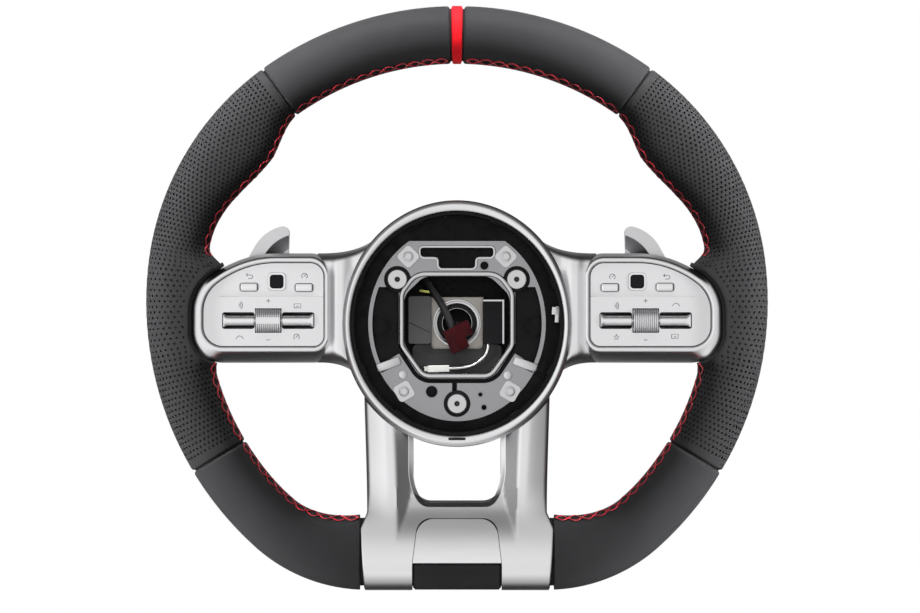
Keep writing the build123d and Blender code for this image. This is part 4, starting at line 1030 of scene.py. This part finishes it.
bm = bmesh.new()
for vert, column, row in grid_points(bm, plate_columns, plate_rows):
    z = plate_top + (plate_low - plate_top) * (1 - row / plate_rows) ** 1.4
    x = (2 * column / plate_columns - 1) * plate_half(z)
    vert.co = place_mm(x, leg_front(z) - 0.85 * leg_drop(0, z) - 0.1, z)
outer_edge = [edge for edge in bm.edges if edge.is_boundary]
for sink in (0.25, 2.4):
    outer_edge, moved = extrude_rim(bm, outer_edge)
    for vert in moved:
        vert.co.y += sink / 1000
make_piece(bm, "bare_plate", [brushed], ["badge_plate"], sharp=30)

bm = bmesh.new()
for vert, column, row in grid_points(bm, hide_columns, hide_rows):
    across, down = 2 * column / hide_columns - 1, 1 - row / hide_rows
    gaps = (hide_half * (1 - abs(across)), hide_length * down)
    fall = sum(roll_drop * (1 - math.sqrt(max(0.0, 1 - edge_fall(gap, roll_width)))) for gap in gaps)
    turned = math.radians(2 + hide_sweep * down)
    lift = -0.1 - fall
    vert.co = place_mm(hide_half * across, rim_ahead + (rim_half_depth + lift) * math.cos(turned),
                       rim_foot_middle - (rim_half_width + lift) * math.sin(turned))
hide = make_piece(bm, "bottom_hide", [smooth_leather], ["bottom_leather_pad"])


# Hub well: a glossy black moulded liner that the airbag sits in. At the foot of the ring a flat black
# block paints the shade of the slot that takes the tool that frees it, and little catches stand out
# of the wall.
liner_black = surface("liner_black", (0.006, 0.006, 0.007), 0.24, specular=0.12)
add_grain(liner_black, 200, 0.00010, rough=(0.16, 0.36))
dress(liner_black, "hub_liner", "guide_bushes", "lead_grommet", "connector_block")
# One flat black for painted shade in the ring slot and the guide sockets, and for the module's seam.
shade_and_seam_black = surface("shade_and_seam_black", (0.004, 0.004, 0.004), 0.6)
catch_turns = (22, 68, 112, 158, 205, 236, 304, 335)


def block_set(name, finish, blocks, replaced=(), body="wheel"):
    """A piece of small blocks, each with its centre, size, turn in the front view and soft edge."""
    bm = bmesh.new()
    for centre, size, turn, edge in blocks:
        made = bmesh.ops.create_cube(bm, size=1)["verts"]
        bmesh.ops.scale(bm, verts=made, vec=Vector(size) / 1000)
        edges = list({item for vert in made for item in vert.link_edges})
        made = bmesh.ops.bevel(bm, geom=edges, offset=edge / 1000, segments=2, profile=0.5,
                               affect="EDGES", material=-1)["verts"]
        block = list({vert for start in made for face in start.link_faces for vert in face.verts})
        turning = Matrix.Rotation(math.radians(turn), 3, "Y")
        bmesh.ops.rotate(bm, verts=block, cent=(0, 0, 0), matrix=turning)
        bmesh.ops.translate(bm, verts=block, vec=place_mm(*centre))
    return make_piece(bm, name, [finish], replaced, body=body)


# Painted shade: a black block for the dark slot at the foot of the ring.
block_set("ring_slot_shade", shade_and_seam_black, [((0, 65.3, -69.0), (10.6, 1.4, 1.9), 0, 0.5)])
catches = []
for turn in catch_turns:
    angle = math.radians(turn)
    centre = (61.6 * math.cos(angle), 57.5, 65.2 * math.sin(angle))
    catches.append((centre, (1.6, 3.0, 6.5), -turn, 0.25))
block_set("liner_catches", liner_black, catches)


# Horn plate: zinc-plated steel stamping that slides on three guide bolts against coil springs. A
# rounded bar is pressed up round its middle, steel catches are riveted to its corners, its holes and
# its upper slot have rolled lips, and black rings seat the guides. The pressed bar and the slot's lip
# take the lighter bright steel, a painted highlight on the zinc plate.
plate_front = 46.0
guide_places = ((-36.0, 26.6), (36.0, 26.6), (0.0, -48.4))
guide_ring = ((6.1, 46.05), (6.1, 46.7), (6.3, 46.9), (7.8, 46.9), (8.05, 46.7), (8.05, 46.05))
guide_cap = ((5.75, 49.45), (5.75, 49.6), (5.5, 49.8), (1.7, 49.8), (1.45, 49.6), (1.45, 49.45))
socket_shade_disc = ((1.45, 49.52), (1.4, 49.56), (0.1, 49.56))
clip_rivet = ((3.0, 48.8), (3.0, 49.1), (2.6, 49.4), (2.1, 49.4), (1.9, 49.2), (0.1, 49.2))
plate_rivet = ((2.6, 45.95), (2.6, 46.4), (2.3, 46.6), (0.1, 46.6))
hole_lip = ((0.5, 0.0), (0.4, 0.12), (0.1, 0.12), (0.0, 0.0))
plate_holes = ((-15.3, -41.2, 3.4), (16.5, 34.9, 2.4), (14.1, -42.9, 1.2), (16.3, -50.7, 1.5))
zinc_steel = surface("zinc_steel", (0.36, 0.36, 0.37), 0.36, metallic=1.0)
add_grain(zinc_steel, 240, 0.00004, colours=((0.29, 0.29, 0.30), (0.42, 0.42, 0.43)),
          rough=(0.30, 0.46))
# Bright steel for the clips, rivets, bolts, caps and springs, also used as painted highlight on the
# horn plate's pressed edges.
bright_steel_and_highlight = surface("bright_steel_and_highlight", (0.62, 0.62, 0.63), 0.28, metallic=1.0)
add_grain(bright_steel_and_highlight, 60, 0, colours=((0.56, 0.56, 0.57), (0.66, 0.66, 0.67)), rough=(0.24, 0.34))
dress(zinc_steel, "horn_plate", "cover_screws", "paddle_pins")
dress(bright_steel_and_highlight, "plate_clips", "plate_rivets", "guide_bolts", "module_clip")


def offset_outline(outline, gap):
    """The outline moved outwards by a gap, along its own normals."""
    points = np.array(outline)
    run = np.roll(points, -1, axis=0) - np.roll(points, 1, axis=0)
    run /= np.maximum(np.hypot(run[:, 0], run[:, 1]), 1e-9)[:, None]
    turned = np.stack([run[:, 1], -run[:, 0]], axis=1)
    turned *= np.sign(((points - points.mean(axis=0)) * turned).sum())
    return points + turned * gap


def pressed_edge(name, line, stations, sharp):
    """A raised edge of the horn plate along a line, from (gap, ahead) stations across it, in the bright
    steel as a painted highlight.
    """
    bm = bmesh.new()
    skin_loops(bm, [flat_loop(offset_outline(line, gap), ahead) for gap, ahead in stations])
    make_piece(bm, name, [bright_steel_and_highlight], sharp=sharp, body="horn")


def turned_set(name, finish, shapes, count=40, sharp=38, body="wheel"):
    """A piece of round shapes, each with its centre and its (radius, ahead) stations."""
    bm = bmesh.new()
    for centre, stations in shapes:
        skin_loops(bm, [ellipse_loop(radius, radius, ahead, count, centre)
                        for radius, ahead in stations])
    make_piece(bm, name, [finish], sharp=sharp, body=body)


loop_line = rounded_outline([
    (-33.4, 18.5, 9), (-25.0, 29.9, 12), (25.0, 29.9, 12), (33.4, 18.5, 9), (33.4, -13.5, 7),
    (20.4, -31.7, 8), (-20.4, -31.7, 8), (-33.4, -13.5, 7)], 8)
# Painted highlight: the pressed bar and the slot's lip take the bright steel, lighter than the zinc
# plate.
pressed_edge("pressed_bar", loop_line, (
    (-1.6, 45.9), (-1.55, 46.7), (-1.2, 47.35), (-0.5, 47.7), (0.5, 47.7), (1.2, 47.35), (1.55, 46.7),
    (1.6, 45.9)), sharp=70)
slot_line = rounded_outline([
    (-22.3, 46.1, 2.0), (22.3, 46.1, 2.0), (22.3, 39.8, 2.4), (11.3, 39.8, 2.4), (11.3, 33.0, 2.4),
    (-11.3, 33.0, 2.4), (-11.3, 39.8, 2.4), (-22.3, 39.8, 2.4)], 6)
pressed_edge("slot_lip", slot_line, (
    (-0.55, 45.2), (-0.55, 45.9), (-0.3, 46.2), (0.2, 46.3), (0.7, 46.25), (1.0, 46.1), (1.05, 45.9)),
    sharp=60)
turned_set("guide_rings", liner_black, [(place, guide_ring) for place in guide_places],
           body="horn")
turned_set("guide_caps", bright_steel_and_highlight, [(place, guide_cap) for place in guide_places])
# Painted shade: black discs fill the sockets in the guide caps.
turned_set("guide_socket_shades", shade_and_seam_black,
           [(place, socket_shade_disc) for place in guide_places], count=24)
turned_set("rivet_heads", bright_steel_and_highlight, [
    *((place, clip_rivet) for place in ((-29.4, 40.3), (29.4, 40.3), (-32.0, -41.0), (32.0, -41.0))),
    *((place, plate_rivet) for place in ((-32.7, -31.1), (30.7, -31.3)))], count=28, body="horn")
turned_set("hole_lips", zinc_steel, [
    ((x, z), [(radius + gap, plate_front + rise) for gap, rise in hole_lip])
    for x, z, radius in plate_holes], count=28, body="horn")
block_set("rolled_lips", bright_steel_and_highlight, [
    ((side * 41.4, 46.4, -24.8), (15.5, 2.8, 5.4), 20 * side, 1.2) for side, _ in hands], body="horn")
block_set("wall_clip", bright_steel_and_highlight, [
    ((60.2, 58.2, 5.4), (2.6, 2.4, 9.6), 4, 0.25), ((58.6, 59.0, 7.6), (3.4, 1.6, 4.6), 4, 0.25)])

coil_radius, wire_radius, coil_steps, coils = 5.05, 0.55, 24, 4
spring_seat, spring_height = 36.15, 6.5
bm = bmesh.new()
for x, z in guide_places:
    loops = []
    for step in range(coil_steps * coils + 1):
        share = step / (coil_steps * coils)
        turn = 2 * math.pi * step / coil_steps
        thick = wire_radius * (0.1 if share in (0, 1) else 1)
        middle = spring_seat + wire_radius + (spring_height - 2 * wire_radius) * share
        section = [(coil_radius + thick * math.cos(t), middle + thick * math.sin(t))
                   for t in (2 * math.pi * k / 8 for k in range(8))]
        loops.append([place_mm(x + out * math.cos(turn), ahead, z + out * math.sin(turn))
                      for out, ahead in section])
    skin_loops(bm, loops)
press_springs = make_piece(bm, "press_springs", [bright_steel_and_highlight], ["horn_springs"],
                           sharp=80)
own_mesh(press_springs)


# Column boss: the machined middle of the casting, where the wheel sits on the column. A bright ring
# lies in its counterbore. A black ring on the counterbore's floor and a thin black disc across the
# back of the bore are painted shade, where the dark hole would be.
column_axis = (0, 0)
# Painted shade: a thin black disc that darkens the bore from behind.
turned_set("bore_shade_disc", black_plastic, [
    (column_axis, ((9.1, 2.6), (9.1, 3.6), (8.4, 4.0), (7.6, 3.4), (0.1, 3.2)))])
turned_set("boss_ring", bright_steel_and_highlight, [
    (column_axis, ((14.7, 30.02), (14.5, 30.25), (13.7, 30.3), (13.4, 30.1), (12.3, 29.9),
                   (11.9, 29.5), (11.6, 28.0), (11.5, 26.1)))], count=64, sharp=20)
# Painted shade: a black ring on the counterbore floor round the dark hole.
turned_set("counterbore_shade_ring", black_plastic, [
    (column_axis, ((11.6, 26.05), (11.5, 26.3), (9.4, 26.3), (9.25, 26.05)))], count=64)


# Control module: a grey moulded box of electronics beside the column, with a seam where its two
# halves snap together, and the dark tray clipped in below it.
grey_plastic = surface("grey_plastic", (0.05, 0.05, 0.052), 0.45)
add_grain(grey_plastic, 700, 0.00005)
dress(grey_plastic, "control_module")
tray_plastic = surface("tray_plastic", (0.017, 0.017, 0.018), 0.5)
add_grain(tray_plastic, 700, 0.00005)
dress(tray_plastic, "hub_tray")
block_set("module_seam", shade_and_seam_black, [((-22.6, 37.0, -2.6), (14.2, 0.3, 0.45), 25, 0.1)])


# Shift paddles: plated silver blades behind the side spokes, each on a pin in its bracket. Inside the
# bright band at the edge the face is hollowed, and the hollow is painted darker as the shade it shows.
band_width, hollow_width = (6.1, 5.1), (6.4, 5.0)
hollow_rows, hollow_inner = 6, 102.4
blade_front, step_rise = 30.0, 1.7
paddle_silver = surface("paddle_silver", (0.66, 0.66, 0.67), 0.34, metallic=1.0)
add_grain(paddle_silver, 30, 0, rough=(0.3, 0.4))
dress(paddle_silver, "paddle_left", "paddle_right")
# Painted shade: a darker copy of the paddle silver for the hollow.
hollow_painted_shade = surface("hollow_painted_shade", (0.30, 0.30, 0.31), 0.45, metallic=1.0)
add_grain(hollow_painted_shade, 30, 0, rough=(0.26, 0.36))
blade_line = [(x, z) for x, z in rounded_outline([
    (101.8, 60.4, 4.0), (118.0, 55.6, 25.0), (132.5, 30.0, 30.0), (130.0, -18.0, 14.0),
    (101.8, -18.0, 4.0)], 16) if x > 106 and z > 10]
for side, hand in hands:
    bm = bmesh.new()
    for vert, column, row in grid_points(bm, len(blade_line) - 1, hollow_rows):
        share = row / hollow_rows
        x, z = (edge - band - width * share
                for edge, band, width in zip(blade_line[column], band_width, hollow_width))
        ahead = blade_front + 0.06 + step_rise * (1 - share) ** 1.6
        vert.co = place_mm(side * max(x, hollow_inner), ahead, z)
    make_piece(bm, f"blade_hollow_{hand}", [hollow_painted_shade], body=f"paddle_{hand}")


# Leads: the sleeved airbag lead that comes up out of the hub and hangs to its dark red plug, and the
# thin white horn lead that runs to a clear plug in the tray.
rubber_black = surface("rubber_black", (0.014, 0.014, 0.015), 0.6)
white_wire = surface("white_wire", (0.80, 0.80, 0.78), 0.35)
plug_red = surface("plug_red", (0.018, 0.001, 0.002), 0.3, specular=0.12)
add_grain(plug_red, 300, 0, colours=((0.006, 0.0005, 0.0008), (0.032, 0.0014, 0.003)))
clear_white = surface("clear_white", (0.72, 0.72, 0.70), 0.25)
wire_yellow = surface("wire_yellow", (0.42, 0.42, 0.10), 0.4)
airbag_route = ((-20.0, 28.6, 26.5), (-17.2, 31.2, 23.0), (-12.6, 34.6, 17.0), (-7.6, 36.8, 8.5),
                (-3.5, 37.4, 0.0), (-1.2, 37.4, -8.5))
horn_route = ((19.0, 35.9, -12.4), (19.0, 35.9, -16.6), (15.6, 36.1, -21.6), (9.8, 36.0, -25.6),
              (2.6, 35.9, -27.2), (-4.8, 35.8, -27.4))
plug_shell = block_set("airbag_plug_shell", plug_red, [
    (centre, size, -24, edge) for centre, size, edge in (
        ((-0.6, 37.3, -9.6), (11.5, 7.2, 15.0), 0.8), ((-3.8, 40.4, -12.4), (1.4, 1.6, 10.0), 0.4),
        ((0.6, 40.6, -11.0), (1.4, 1.6, 10.0), 0.4), ((4.2, 37.6, -3.6), (8.6, 6.4, 9.0), 0.8))],
    ["airbag_plug"])
block_set("wire_stub", wire_yellow, [((-19.8, 35.4, 19.4), (6.4, 1.5, 1.5), 8, 0.6)])
dress(clear_white, "horn_plug")
horn_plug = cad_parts["horn_plug"]
for name, route, diameter, length, finish, node, plug in (
        ("airbag_flex", airbag_route, 0.0044, 0.0418, rubber_black, "airbag_lead", plug_shell),
        ("horn_wire", horn_route, 0.0016, 0.0318, white_wire, "horn_lead", horn_plug)):
    line = [place_mm(*corner) for corner in route]
    flex = round_line(name, [line], diameter / 2, resolution=4, caps=True, kind="NURBS")
    flex.data.resolution_u = 8
    flex.data.splines[0].order_u = 3
    flex.data.splines[0].use_endpoint_u = True
    flex.data.materials.append(finish)
    bpy.context.scene.collection.objects.link(flex)
    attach(flex, "wheel")
    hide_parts(node)
